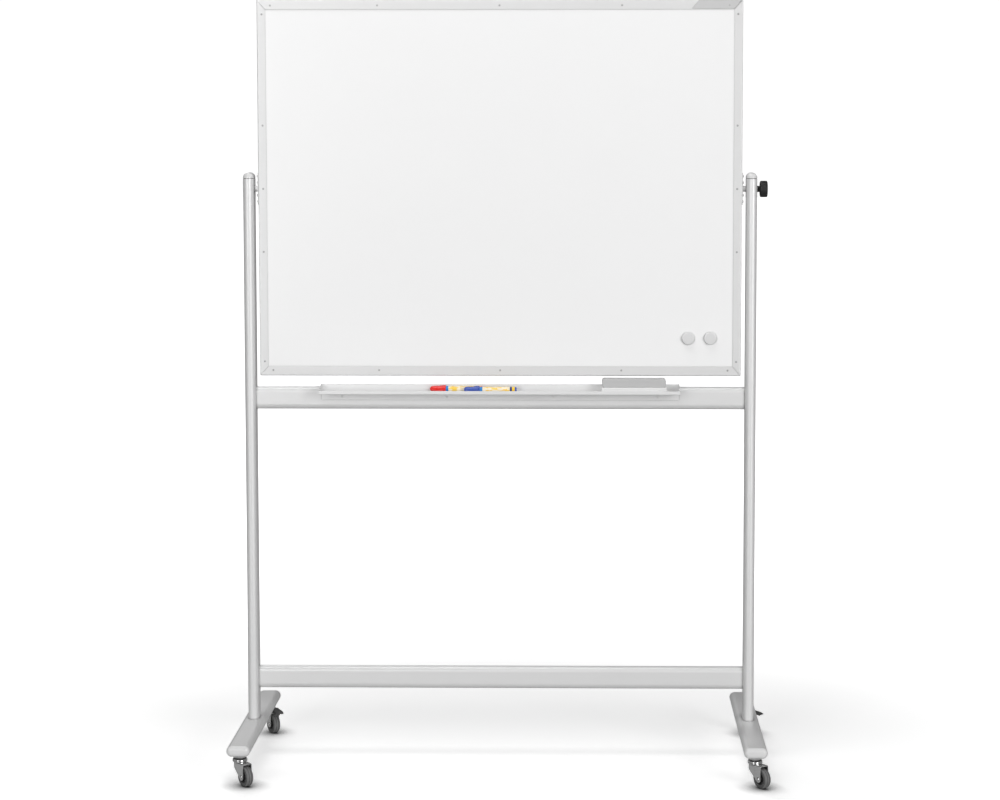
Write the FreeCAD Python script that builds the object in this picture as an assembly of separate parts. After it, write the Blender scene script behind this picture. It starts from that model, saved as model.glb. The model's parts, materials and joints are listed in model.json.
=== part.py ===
import FreeCAD, Part
import math
import os

from FreeCAD import Vector

# A rolling whiteboard. Its framed board turns over between two posts on a wheeled stand.
# All sizes are in millimetres. X runs to the right, Y to the back and Z up. The origin is
# on the floor, midway between the posts. Side is -1 for left and +1 for right.

X_AXIS = Vector(1, 0, 0)
Y_AXIS = Vector(0, 1, 0)
Z_AXIS = Vector(0, 0, 1)
SIDES = {"left": -1, "right": 1}

# stand layout
POST_X = 634.0                  # post centre to the middle of the stand
PIVOT_HEIGHT = 1460.0
POST_TOP = 1486.0
MIDDLE_RAIL_HEIGHT = 930.0
LOWER_RAIL_HEIGHT = 209.5
FOOT_UNDERSIDE = 75.5
FOOT_HALF_LENGTH = 287.0        # tube only, without its end caps
RAIL_HEIGHTS = (LOWER_RAIL_HEIGHT, MIDDLE_RAIL_HEIGHT)

# oval tube of the posts, rails and feet
TUBE_WIDE = 58.0
TUBE_NARROW = 27.0
TUBE_WALL = 2.0
FOOT_TOP = FOOT_UNDERSIDE + TUBE_NARROW
POST_INNER_X = POST_X - TUBE_NARROW / 2
POST_OUTER_X = POST_X + TUBE_NARROW / 2

# tube end caps
SPIGOT_DEPTH = 8.0
SPIGOT_GAP = 0.1                # between a plug or insert and the tube around it
POST_CAP_LENGTH = 15.5
POST_CAP_ROUND = 13.2
FOOT_CAP_LENGTH = 13.0
FOOT_CAP_ROUND = 10.0

# bolted tube joints
INSERT_LENGTH = 40.0
BOLT_SPREAD = 15.0              # each bolt from the middle of its tube
BOLT_RADIUS = 2.95
BOLT_LENGTH = 30.0
BOLT_HEAD_RADIUS = 5.0
BOLT_HEAD_HEIGHT = 6.0
BOLT_SOCKET_RADIUS = 2.9
BOLT_SOCKET_DEPTH = 3.0
BOLT_HOLE_RADIUS = 3.3
THREAD_RADIUS = 3.0
ACCESS_RADIUS = 6.0
PLUG_RADIUS = 5.9
PLUG_HEAD_RADIUS = 7.5
PLUG_HEAD_HEIGHT = 0.8

# board
BOARD_HALF_WIDTH = 610.0
BOARD_HALF_HEIGHT = 474.5
BOARD_HALF_DEPTH = 11.0
SIDE_FACE = 21.5                # face width of the left and right frame bars
END_FACE = 24.5                 # face width of the top and bottom frame bars
FRAME_WEB = 2.0
FRAME_LIP = 1.4
FRAME_ROUND = 3.0
PANEL_INSET = 10.0              # panel edge inside the frame's outer edge
SHEET_THICKNESS = 0.5
SHEET_FRONT = BOARD_HALF_DEPTH - FRAME_LIP
CORE_HALF_DEPTH = SHEET_FRONT - SHEET_THICKNESS
BRACKET_LEG = 60.0
BRACKET_WIDTH = 6.0
BRACKET_DEPTH = 18.8

# frame screws, measured from the board's middle and from the frame's outer edge
END_SCREWS_X = (-576.0, -307.0, 0.0, 307.0, 576.0)
SIDE_SCREWS_Z = (-437.0, -159.0, 0.0, 159.0, 437.0)
END_SCREW_INSET = 14.5
SIDE_SCREW_INSET = 12.5
SCREW_RADIUS = 1.3
SCREW_LENGTH = 6.0
SCREW_HEAD_RADIUS = 2.2
SCREW_HEAD_HEIGHT = 0.6
SCREW_HOLE_RADIUS = 1.4

# name plate on the top bar
NAME_PLATE_LEFT = 500.0         # its upper left corner
NAME_PLATE_THICKNESS = 0.5
NAME_PLATE_MARGIN = 1.0

# pivots
PIVOT_PLATE_HEIGHT = 80.0
PIVOT_PLATE_DEPTH = 18.0
PIVOT_PLATE_THICKNESS = 2.0
PIVOT_SCREWS_Z = (-32.0, -16.0, 16.0, 32.0)
PIVOT_SCREW_RADIUS = 2.0
PIVOT_SCREW_HOLE = 2.1
PIVOT_SCREW_LENGTH = 20.0
PIVOT_SCREW_HEAD_RADIUS = 3.5
PIVOT_SCREW_HEAD_HEIGHT = 2.3
SHOULDER_RADIUS = 7.2
SHOULDER_END_X = POST_INNER_X - 0.3
SPIGOT_RADIUS = 6.0
SPIGOT_END_X = POST_OUTER_X - 2.0
BUSH_RADIUS = 9.0
BUSH_HOLE_RADIUS = 9.05
BUSH_BORE_RADIUS = 6.05
BUSH_END_WALL = 1.5

# clamp on the right post
WASHER_RADIUS = 7.7
WASHER_THICKNESS = 1.0
WASHER_GAP = 0.1
STUD_RADIUS = 3.95
STUD_THREAD_RADIUS = 4.0
STUD_START_X = 626.0
STUD_END_X = 662.0
STUD_THREAD_DEPTH = 24.0
KNOB_NECK_RADIUS = 7.75
KNOB_NECK_END_X = 655.1
KNOB_RADIUS = 20.8
KNOB_END_X = 674.1
KNOB_ROUND = 4.0
KNOB_FLUTES = 12
KNOB_FLUTE_RADIUS = 3.0
KNOB_FLUTE_DEPTH = 0.9

# pen tray
TRAY_HALF_LENGTH = 453.0
TRAY_SHEET = 1.5
TRAY_BACK_Y = -TUBE_NARROW / 2
TRAY_FRONT_Y = -73.0
TRAY_FLANGE_BOTTOM = 926.0
TRAY_FLOOR = 946.5
TRAY_BACK_TOP = 966.6
TRAY_LIP_TOP = 954.4
TRAY_LIP_ROUND = 1.2
TRAY_CAP_THICKNESS = 1.5
TRAY_SCREWS_X = (-400.0, -135.0, 135.0, 400.0)
TRAY_SCREW_Z = 935.0
TRAY_SCREW_RADIUS = 2.0
TRAY_SCREW_HOLE = 2.1
TRAY_SCREW_LENGTH = 8.0
TRAY_SCREW_HEAD_RADIUS = 3.75
TRAY_SCREW_HEAD_HEIGHT = 2.0

# things kept on the board and tray
REST_GAP = 0.3                  # under a loose thing that lies on the tray
ERASER_LEFT = 257.0
ERASER_LENGTH = 163.0
ERASER_BACK_Y = -17.0
ERASER_DEPTH = 49.0
FELT_HEIGHT = 16.0
ERASER_TOP = 984.0
GRIP_INSET = 1.0
GRIP_ROUND = 6.0
MARKER_LENGTH = 133.0
MARKER_RADIUS = 7.4
MARKER_END_RADIUS = 5.6
MARKER_END_TAPER = 5.0
CAP_RADIUS = 8.0
CAP_LENGTH = 40.0
CLIP_LENGTH = 16.0
CLIP_WIDTH = 4.0
CLIP_HEIGHT = 1.4
MARKERS = {"red_marker": (-177.0, -24.0), "blue_marker": (-90.0, -42.0)}
MAGNETS = {"left_magnet": 476.0, "right_magnet": 532.0}
MAGNET_Z = 1083.0
MAGNET_RADIUS = 16.0
MAGNET_HEIGHT = 8.0
MAGNET_ROUND = 2.5
MAGNET_GAP = 0.05

# casters, drawn trailing along +X with the swivel axis on Z
CASTER_Y = 262.0
TRAIL = 27.0
WHEEL_RADIUS = 25.0
TYRE_HALF_WIDTH = 9.3
TYRE_SHOULDER = 4.5
TYRE_GROOVE_RADIUS = 0.7
TYRE_GROOVES_Y = (-3.0, 3.0)
RIM_RADIUS = 15.5
RIM_INNER_RADIUS = 12.5
RIM_HALF_WIDTH = 8.5
WEB_HALF_WIDTH = 3.0
BOSS_RADIUS = 7.0
BOSS_HALF_WIDTH = 10.5
HUB_BORE_RADIUS = 3.05
AXLE_RADIUS = 3.0
AXLE_HEAD_RADIUS = 4.6
AXLE_HEAD_HEIGHT = 2.5
LEG_INSIDE = 11.0
LEG_THICKNESS = 2.0
LEG_FRONT_X = -9.0
LEG_KNEE_Z = 43.0
LEG_END_RADIUS = 8.0
FORK_PLATE_BOTTOM = 55.0
FORK_PLATE_TOP = 57.5
FORK_PLATE_RADIUS = 18.0
HEAD_RADIUS = 18.3
HEAD_TOP = 65.0
HEAD_ROUND = 2.0
KING_PIN_RADIUS = 4.0
KING_PIN_HOLE = 4.05
RIVET_RADIUS = 6.0
RIVET_TOP = 54.8
RIVET_HEIGHT = 1.5
RING_RADIUS = 16.0
RING_BOTTOM = 65.1
RING_TOP = 68.1
FLANGE_RADIUS = 17.0
FLANGE_BOTTOM = 68.2
FLANGE_TOP = 71.2
NECK_RADIUS = 10.0
STEM_RADIUS = 4.95
STEM_THREAD_RADIUS = 5.0
STEM_HOLE_RADIUS = 5.25
STEM_TOP = 97.0
THREAD_BLOCK_SIZE = 30.0

# brake pedals of the rear casters, drawn in the same way
PEDAL_PIVOT = (30.5, 51.0)      # X and Z of its pin
PEDAL_PIN_RADIUS = 2.0
PEDAL_PIN_HOLE = 2.05
PEDAL_START = (21.0, 65.5)      # X and Z of the pedal's upper face, heel and toe
PEDAL_END = (66.0, 59.5)
PEDAL_THICKNESS = 3.0
PEDAL_HALF_WIDTH = 15.3
PEDAL_TOE_ROUND = 5.0
EAR_INSIDE = 13.3
EAR_X = (25.0, 37.0)
EAR_RADIUS = 6.0
TONGUE_X = (41.0, 45.0)
TONGUE_BOTTOM = 48.7
TONGUE_HALF_WIDTH = 8.0

# how far each caster's trail is turned from straight ahead towards +X, in degrees
CASTERS = {
    "front_left": (-1, -1, 38.0),
    "front_right": (1, -1, 36.0),
    "rear_left": (-1, 1, 35.0),
    "rear_right": (1, 1, 53.0),
}

os.makedirs("parts", exist_ok=True)


def save(name, shape):
    shape.exportStep(os.path.join("parts", name + ".step"))


def moved(shape, x=0.0, y=0.0, z=0.0):
    placed = shape.copy()
    placed.translate(Vector(x, y, z))
    return placed


def turned(shape, axis, degrees):
    placed = shape.copy()
    placed.rotate(Vector(), axis, degrees)
    return placed


def block(x0, x1, y0, y1, z0, z1):
    return Part.makeBox(x1 - x0, y1 - y0, z1 - z0, Vector(x0, y0, z0))


def rod(radius, start, end):
    """A cylinder between two points."""
    run = end - start
    return Part.makeCylinder(radius, run.Length, start, run)


def rod_x(radius, x0, x1, y=0.0, z=0.0):
    return rod(radius, Vector(x0, y, z), Vector(x1, y, z))


def rod_y(radius, y0, y1, x=0.0, z=0.0):
    return rod(radius, Vector(x, y0, z), Vector(x, y1, z))


def rod_z(radius, z0, z1, x=0.0, y=0.0):
    return rod(radius, Vector(x, y, z0), Vector(x, y, z1))


def edges_along(shape, axis):
    """The straight edges that run along an axis."""
    found = []
    for edge in shape.Edges:
        if isinstance(edge.Curve, Part.Line) and abs(edge.Curve.Direction.dot(axis)) > 0.999:
            found.append(edge)
    return found


def edges_at(shape, axis, place):
    """The edges that lie in the plane across an axis at one place on it."""
    found = []
    for edge in shape.Edges:
        ends = [vertex.Point.dot(axis) for vertex in edge.Vertexes]
        middle = edge.CenterOfMass.dot(axis)
        if all(abs(value - place) < 0.001 for value in ends + [middle]):
            found.append(edge)
    return found


def prism(points, direction):
    """A solid pushed out from a closed outline of straight sides."""
    wire = Part.makePolygon(points + points[:1])
    return Part.Face(wire).extrude(direction)


# ---- oval tube -------------------------------------------------------------------------


def oval_bar(wide, narrow, length):
    """A bar up +Z, wide along X and narrow along Y, with half-round sides."""
    radius = narrow / 2
    flat = wide / 2 - radius
    front_left = Vector(-flat, -radius, 0)
    front_right = Vector(flat, -radius, 0)
    back_right = Vector(flat, radius, 0)
    back_left = Vector(-flat, radius, 0)
    outline = [
        Part.LineSegment(front_left, front_right),
        Part.Arc(front_right, Vector(wide / 2, 0, 0), back_right),
        Part.LineSegment(back_right, back_left),
        Part.Arc(back_left, Vector(-wide / 2, 0, 0), front_left),
    ]
    wire = Part.Wire([curve.toShape() for curve in outline])
    return Part.Face(wire).extrude(Vector(0, 0, length))


def oval_tube(length):
    inside = oval_bar(TUBE_WIDE - 2 * TUBE_WALL, TUBE_NARROW - 2 * TUBE_WALL, length)
    return oval_bar(TUBE_WIDE, TUBE_NARROW, length).cut(inside)


def oval_plug(length):
    """A bar that fits inside the tube."""
    less = 2 * (TUBE_WALL + SPIGOT_GAP)
    return oval_bar(TUBE_WIDE - less, TUBE_NARROW - less, length)


def end_cap(length, rounding):
    """A cap above Z = 0 with a rounded end and a spigot below."""
    cap = oval_bar(TUBE_WIDE, TUBE_NARROW, length)
    cap = cap.makeFillet(rounding, edges_at(cap, Z_AXIS, length))
    return cap.fuse(moved(oval_plug(SPIGOT_DEPTH), z=-SPIGOT_DEPTH))


def lay_along_x(shape, way=1):
    """Turns what stands up Z to point along X; its wide side then stands upright."""
    return turned(shape, Y_AXIS, 90 * way)


def lay_along_y(shape, way=1):
    """Turns what stands up Z to point along Y; its wide side stays along X."""
    return turned(shape, X_AXIS, -90 * way)


# ---- stand -----------------------------------------------------------------------------


def make_post(side):
    tube = turned(oval_tube(POST_TOP - FOOT_TOP), Z_AXIS, 90)
    tube = moved(tube, side * POST_X, 0, FOOT_TOP)
    beyond = 2 * TUBE_WALL
    holes = [rod_x(BUSH_HOLE_RADIUS, side * (POST_INNER_X - beyond),
                   side * (POST_OUTER_X + beyond), z=PIVOT_HEIGHT)]
    for rail_z in RAIL_HEIGHTS:
        for z in (rail_z - BOLT_SPREAD, rail_z + BOLT_SPREAD):
            holes.append(rod_x(BOLT_HOLE_RADIUS, side * (POST_INNER_X - beyond),
                               side * (POST_INNER_X + beyond), z=z))
            holes.append(rod_x(ACCESS_RADIUS, side * (POST_OUTER_X - beyond),
                               side * (POST_OUTER_X + beyond), z=z))
    return tube.cut(holes)


def make_rail(height):
    return moved(lay_along_x(oval_tube(2 * POST_INNER_X)), -POST_INNER_X, 0, height)


def make_middle_rail():
    holes = []
    for x in TRAY_SCREWS_X:
        holes.append(rod_y(TRAY_SCREW_HOLE, TRAY_BACK_Y - 1, TRAY_BACK_Y + 2 * TUBE_WALL,
                           x, TRAY_SCREW_Z))
    return make_rail(MIDDLE_RAIL_HEIGHT).cut(holes)


def make_foot(side):
    tube = lay_along_y(oval_tube(2 * FOOT_HALF_LENGTH))
    tube = moved(tube, side * POST_X, -FOOT_HALF_LENGTH, FOOT_UNDERSIDE + TUBE_NARROW / 2)
    beyond = 2 * TUBE_WALL
    holes = []
    for y in (-BOLT_SPREAD, BOLT_SPREAD):
        holes.append(rod_z(BOLT_HOLE_RADIUS, FOOT_TOP - beyond, FOOT_TOP + beyond,
                           side * POST_X, y))
        holes.append(rod_z(ACCESS_RADIUS, FOOT_UNDERSIDE - beyond, FOOT_UNDERSIDE + beyond,
                           side * POST_X, y))
    for y in (-CASTER_Y, CASTER_Y):
        holes.append(rod_z(STEM_HOLE_RADIUS, FOOT_UNDERSIDE - beyond,
                           FOOT_UNDERSIDE + beyond, side * POST_X, y))
    return tube.cut(holes)


def make_post_cap(side):
    cap = turned(end_cap(POST_CAP_LENGTH, POST_CAP_ROUND), Z_AXIS, 90)
    return moved(cap, side * POST_X, 0, POST_TOP)


def make_foot_caps():
    caps = []
    for side in SIDES.values():
        for way in (-1, 1):
            cap = lay_along_y(end_cap(FOOT_CAP_LENGTH, FOOT_CAP_ROUND), way)
            caps.append(moved(cap, side * POST_X, way * FOOT_HALF_LENGTH,
                              FOOT_UNDERSIDE + TUBE_NARROW / 2))
    return Part.makeCompound(caps)


def tube_insert():
    """A block above Z = 0 that fits in a tube's end, with two threaded holes."""
    holes = []
    for x in (-BOLT_SPREAD, BOLT_SPREAD):
        holes.append(rod_z(THREAD_RADIUS, -1, BOLT_LENGTH, x))
    return oval_plug(INSERT_LENGTH).cut(holes)


def frame_bolt():
    """A socket-head bolt with its shank up +Z from the underside of its head."""
    head = rod_z(BOLT_HEAD_RADIUS, -BOLT_HEAD_HEIGHT, 0)
    corners = []
    for step in range(6):
        angle = math.radians(60 * step)
        corners.append(Vector(BOLT_SOCKET_RADIUS * math.cos(angle),
                              BOLT_SOCKET_RADIUS * math.sin(angle), -BOLT_HEAD_HEIGHT))
    socket = prism(corners, Vector(0, 0, BOLT_SOCKET_DEPTH))
    return head.fuse(rod_z(BOLT_RADIUS, 0, BOLT_LENGTH)).cut(socket)


def hole_plug():
    """A plug that fills a tube wall below Z = 0, with its head above."""
    return rod_z(PLUG_RADIUS, -TUBE_WALL, 0).fuse(rod_z(PLUG_HEAD_RADIUS, 0, PLUG_HEAD_HEIGHT))


def make_joint_parts():
    """The inserts, bolts and plugs of the rail and post joints."""
    inserts = []
    bolts = []
    plugs = []
    for side in SIDES.values():
        for rail_z in RAIL_HEIGHTS:
            inserts.append(moved(lay_along_x(tube_insert(), -side),
                                 side * POST_INNER_X, 0, rail_z))
            for z in (rail_z - BOLT_SPREAD, rail_z + BOLT_SPREAD):
                bolts.append(moved(lay_along_x(frame_bolt(), -side),
                                   side * (POST_INNER_X + TUBE_WALL), 0, z))
                plugs.append(moved(lay_along_x(hole_plug(), side), side * POST_OUTER_X, 0, z))
        inserts.append(moved(turned(tube_insert(), Z_AXIS, 90), side * POST_X, 0, FOOT_TOP))
        for y in (-BOLT_SPREAD, BOLT_SPREAD):
            bolts.append(moved(frame_bolt(), side * POST_X, y, FOOT_TOP - TUBE_WALL))
            plugs.append(moved(turned(hole_plug(), X_AXIS, 180), side * POST_X, y,
                               FOOT_UNDERSIDE))
    save("tube_inserts", Part.makeCompound(inserts))
    save("frame_bolts", Part.makeCompound(bolts))
    save("bolt_hole_plugs", Part.makeCompound(plugs))


def make_thread_blocks():
    """The blocks inside the feet that the casters screw into."""
    low = FOOT_UNDERSIDE + TUBE_WALL + SPIGOT_GAP
    high = FOOT_TOP - TUBE_WALL - SPIGOT_GAP
    half = THREAD_BLOCK_SIZE / 2
    blocks = []
    for side in SIDES.values():
        for way in (-1, 1):
            x = side * POST_X
            y = way * CASTER_Y
            solid = block(x - half, x + half, y - half, y + half, low, high)
            blocks.append(solid.cut(rod_z(STEM_THREAD_RADIUS, low - 1, high + 1, x, y)))
    return Part.makeCompound(blocks)


# ---- board -----------------------------------------------------------------------------


def frame_channel(length, face):
    """A channel along X whose web is at Z = 0 and whose lips reach up to Z = face."""
    half = length / 2
    channel = block(-half, half, -BOARD_HALF_DEPTH, BOARD_HALF_DEPTH, 0, face)
    low_edges = edges_at(channel, Z_AXIS, 0)
    long_edges = [edge for edge in low_edges if edge.Length > face]
    channel = channel.makeFillet(FRAME_ROUND, long_edges[:2])
    return channel.cut(block(-half, half, -SHEET_FRONT, SHEET_FRONT, FRAME_WEB, face))


def mitred_bar(half_length, face, other_face):
    """A frame bar along X, outer edge down, with both ends cut to meet its neighbours."""
    bar = frame_channel(2 * half_length, face)
    corners = [
        Vector(-half_length, -BOARD_HALF_DEPTH, 0),
        Vector(half_length, -BOARD_HALF_DEPTH, 0),
        Vector(half_length - other_face, -BOARD_HALF_DEPTH, face),
        Vector(-half_length + other_face, -BOARD_HALF_DEPTH, face),
    ]
    return bar.common(prism(corners, Vector(0, 2 * BOARD_HALF_DEPTH, 0)))


def board_outline():
    """The board's outer block, with the corners of its face rounded."""
    outline = block(-BOARD_HALF_WIDTH, BOARD_HALF_WIDTH, -BOARD_HALF_DEPTH, BOARD_HALF_DEPTH,
                    PIVOT_HEIGHT - BOARD_HALF_HEIGHT, PIVOT_HEIGHT + BOARD_HALF_HEIGHT)
    return outline.makeFillet(FRAME_ROUND, edges_along(outline, Y_AXIS))


def face_screw_places():
    """X and Z of every frame screw on one face of the board."""
    places = []
    for edge in (-1, 1):
        for x in END_SCREWS_X:
            places.append((x, PIVOT_HEIGHT + edge * (BOARD_HALF_HEIGHT - END_SCREW_INSET)))
        for z in SIDE_SCREWS_Z:
            places.append((edge * (BOARD_HALF_WIDTH - SIDE_SCREW_INSET), PIVOT_HEIGHT + z))
    return places


def face_screw_holes():
    """Blind holes in both faces of the board for the frame screws."""
    depth = SCREW_LENGTH + 1
    holes = []
    for x, z in face_screw_places():
        for face in (-1, 1):
            holes.append(rod_y(SCREW_HOLE_RADIUS, face * (BOARD_HALF_DEPTH + 1),
                               face * (BOARD_HALF_DEPTH - depth), x, z))
    return holes


def pivot_screw_holes(side):
    """Holes in the board's side for one pivot plate's screws."""
    deepest = BOARD_HALF_WIDTH + PIVOT_PLATE_THICKNESS - PIVOT_SCREW_LENGTH - 1
    holes = []
    for z in PIVOT_SCREWS_Z:
        holes.append(rod_x(PIVOT_SCREW_HOLE, side * (BOARD_HALF_WIDTH + 5), side * deepest,
                           z=PIVOT_HEIGHT + z))
    return holes


def make_frame():
    outline = board_outline()
    face_holes = face_screw_holes()
    end_bar = mitred_bar(BOARD_HALF_WIDTH, END_FACE, SIDE_FACE)
    side_bar = mitred_bar(BOARD_HALF_HEIGHT, SIDE_FACE, END_FACE)
    bottom = moved(end_bar, z=PIVOT_HEIGHT - BOARD_HALF_HEIGHT)
    top = moved(turned(end_bar, Y_AXIS, 180), z=PIVOT_HEIGHT + BOARD_HALF_HEIGHT)
    left = moved(turned(side_bar, Y_AXIS, 90), x=-BOARD_HALF_WIDTH, z=PIVOT_HEIGHT)
    right = moved(turned(side_bar, Y_AXIS, -90), x=BOARD_HALF_WIDTH, z=PIVOT_HEIGHT)
    save("frame_bottom", bottom.common(outline).cut(face_holes))
    save("frame_top", top.common(outline).cut(face_holes))
    save("frame_left", left.common(outline).cut(face_holes + pivot_screw_holes(-1)))
    save("frame_right", right.common(outline).cut(face_holes + pivot_screw_holes(1)))


def make_panel():
    """The core and the two writing sheets."""
    half_width = BOARD_HALF_WIDTH - PANEL_INSET
    low = PIVOT_HEIGHT - BOARD_HALF_HEIGHT + PANEL_INSET
    high = PIVOT_HEIGHT + BOARD_HALF_HEIGHT - PANEL_INSET
    holes = face_screw_holes() + pivot_screw_holes(-1) + pivot_screw_holes(1)
    core = block(-half_width, half_width, -CORE_HALF_DEPTH, CORE_HALF_DEPTH, low, high)
    front = block(-half_width, half_width, -SHEET_FRONT, -CORE_HALF_DEPTH, low, high)
    back = block(-half_width, half_width, CORE_HALF_DEPTH, SHEET_FRONT, low, high)
    save("board_core", core.cut(holes))
    save("front_writing_sheet", front.cut(face_screw_holes()))
    save("back_writing_sheet", back.cut(face_screw_holes()))


def make_corner_brackets():
    """L brackets in the frame channels, one at each corner."""
    outer_x = BOARD_HALF_WIDTH - FRAME_WEB - SPIGOT_GAP
    outer_z = BOARD_HALF_HEIGHT - FRAME_WEB - SPIGOT_GAP
    half = BRACKET_DEPTH / 2
    along_x = block(outer_x - BRACKET_LEG, outer_x, -half, half, outer_z - BRACKET_WIDTH, outer_z)
    along_z = block(outer_x - BRACKET_WIDTH, outer_x, -half, half, outer_z - BRACKET_LEG, outer_z)
    upper_right = along_x.fuse(along_z).removeSplitter()
    upper_left = upper_right.mirror(Vector(), X_AXIS)
    upper = [upper_right, upper_left]
    lower = [bracket.mirror(Vector(), Z_AXIS) for bracket in upper]
    return moved(Part.makeCompound(upper + lower), z=PIVOT_HEIGHT)


def face_screw():
    """A screw with its shank up +Y and a domed head before the board's front face."""
    head = rod_y(SCREW_HEAD_RADIUS, -SCREW_HEAD_HEIGHT, 0)
    head = head.makeFillet(SCREW_HEAD_HEIGHT / 2, edges_at(head, Y_AXIS, -SCREW_HEAD_HEIGHT))
    return head.fuse(rod_y(SCREW_RADIUS, 0, SCREW_LENGTH))


def make_frame_screws():
    front = moved(face_screw(), y=-BOARD_HALF_DEPTH)
    back = moved(turned(face_screw(), Z_AXIS, 180), y=BOARD_HALF_DEPTH)
    screws = []
    for x, z in face_screw_places():
        screws.append(moved(front, x, 0, z))
        screws.append(moved(back, x, 0, z))
    return Part.makeCompound(screws)


def make_name_plate():
    """A blank plate on the right end of the top bar, cut to the mitre."""
    low = PIVOT_HEIGHT + BOARD_HALF_HEIGHT - END_FACE + NAME_PLATE_MARGIN
    high = PIVOT_HEIGHT + BOARD_HALF_HEIGHT - FRAME_ROUND
    slope = SIDE_FACE / END_FACE
    top_right = BOARD_HALF_WIDTH - NAME_PLATE_MARGIN - FRAME_ROUND * slope
    run = (high - low) * slope
    y = -BOARD_HALF_DEPTH
    corners = [
        Vector(NAME_PLATE_LEFT - run, y, low),
        Vector(top_right - run, y, low),
        Vector(top_right, y, high),
        Vector(NAME_PLATE_LEFT, y, high),
    ]
    plate = prism(corners, Vector(0, -NAME_PLATE_THICKNESS, 0))
    screw_gap = SCREW_HEAD_RADIUS + SPIGOT_GAP
    screw_z = PIVOT_HEIGHT + BOARD_HALF_HEIGHT - END_SCREW_INSET
    return plate.cut(rod_y(screw_gap, y - 1, y + 1, END_SCREWS_X[-1], screw_z))


def make_pivot_bracket(side):
    """A plate on the board's side with a shoulder and a spigot along the pivot line."""
    half_depth = PIVOT_PLATE_DEPTH / 2
    half_height = PIVOT_PLATE_HEIGHT / 2
    outer = BOARD_HALF_WIDTH + PIVOT_PLATE_THICKNESS
    plate = block(BOARD_HALF_WIDTH, outer, -half_depth, half_depth, -half_height, half_height)
    plate = plate.makeFillet(FRAME_ROUND, edges_along(plate, X_AXIS))
    bracket = plate.fuse([rod_x(SHOULDER_RADIUS, outer, SHOULDER_END_X),
                          rod_x(SPIGOT_RADIUS, SHOULDER_END_X, SPIGOT_END_X)])
    if side > 0:
        bracket = bracket.cut(rod_x(STUD_THREAD_RADIUS, SPIGOT_END_X - STUD_THREAD_DEPTH,
                                    SPIGOT_END_X + 1))
    else:
        bracket = bracket.mirror(Vector(), X_AXIS)
    return moved(bracket, z=PIVOT_HEIGHT).cut(pivot_screw_holes(side))


def make_pivot_screws():
    """The pan-head screws of both pivot plates."""
    seat = BOARD_HALF_WIDTH + PIVOT_PLATE_THICKNESS
    crown = seat + PIVOT_SCREW_HEAD_HEIGHT
    head = rod_x(PIVOT_SCREW_HEAD_RADIUS, seat, crown)
    head = head.makeFillet(PIVOT_SCREW_HEAD_HEIGHT / 2, edges_at(head, X_AXIS, crown))
    screw = head.fuse(rod_x(PIVOT_SCREW_RADIUS, seat - PIVOT_SCREW_LENGTH, seat))
    screws = []
    for z in PIVOT_SCREWS_Z:
        right = moved(screw, z=PIVOT_HEIGHT + z)
        screws.append(right)
        screws.append(right.mirror(Vector(), X_AXIS))
    return Part.makeCompound(screws)


def make_bush(side):
    """A bush through both walls of a post; the left one is closed outside."""
    bush = rod_x(BUSH_RADIUS, POST_INNER_X, POST_OUTER_X)
    bore_end = POST_OUTER_X + 1 if side > 0 else POST_OUTER_X - BUSH_END_WALL
    bush = bush.cut(rod_x(BUSH_BORE_RADIUS, POST_INNER_X - 1, bore_end))
    if side < 0:
        bush = bush.mirror(Vector(), X_AXIS)
    return moved(bush, z=PIVOT_HEIGHT)


# ---- clamp -----------------------------------------------------------------------------


def make_clamp():
    """Washer, knob and stud on the pivot line, outside the right post."""
    washer_start = POST_OUTER_X + WASHER_GAP
    washer_end = washer_start + WASHER_THICKNESS
    hole = rod_x(STUD_THREAD_RADIUS, POST_OUTER_X, STUD_END_X)
    washer = rod_x(WASHER_RADIUS, washer_start, washer_end).cut(hole)
    head = rod_x(KNOB_RADIUS, KNOB_NECK_END_X, KNOB_END_X)
    rims = edges_at(head, X_AXIS, KNOB_NECK_END_X) + edges_at(head, X_AXIS, KNOB_END_X)
    head = head.makeFillet(KNOB_ROUND, rims)
    flutes = []
    ring = KNOB_RADIUS + KNOB_FLUTE_RADIUS - KNOB_FLUTE_DEPTH
    for step in range(KNOB_FLUTES):
        angle = math.radians(360 * step / KNOB_FLUTES)
        flutes.append(rod_x(KNOB_FLUTE_RADIUS, KNOB_NECK_END_X - 1, KNOB_END_X + 1,
                            ring * math.cos(angle), ring * math.sin(angle)))
    neck = rod_x(KNOB_NECK_RADIUS, washer_end + WASHER_GAP, KNOB_NECK_END_X)
    knob = head.cut(flutes).fuse(neck).cut(hole)
    save("clamp_washer", moved(washer, z=PIVOT_HEIGHT))
    save("clamp_knob", moved(knob, z=PIVOT_HEIGHT))
    save("clamp_stud", rod_x(STUD_RADIUS, STUD_START_X, STUD_END_X, z=PIVOT_HEIGHT))


# ---- pen tray --------------------------------------------------------------------------


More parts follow.
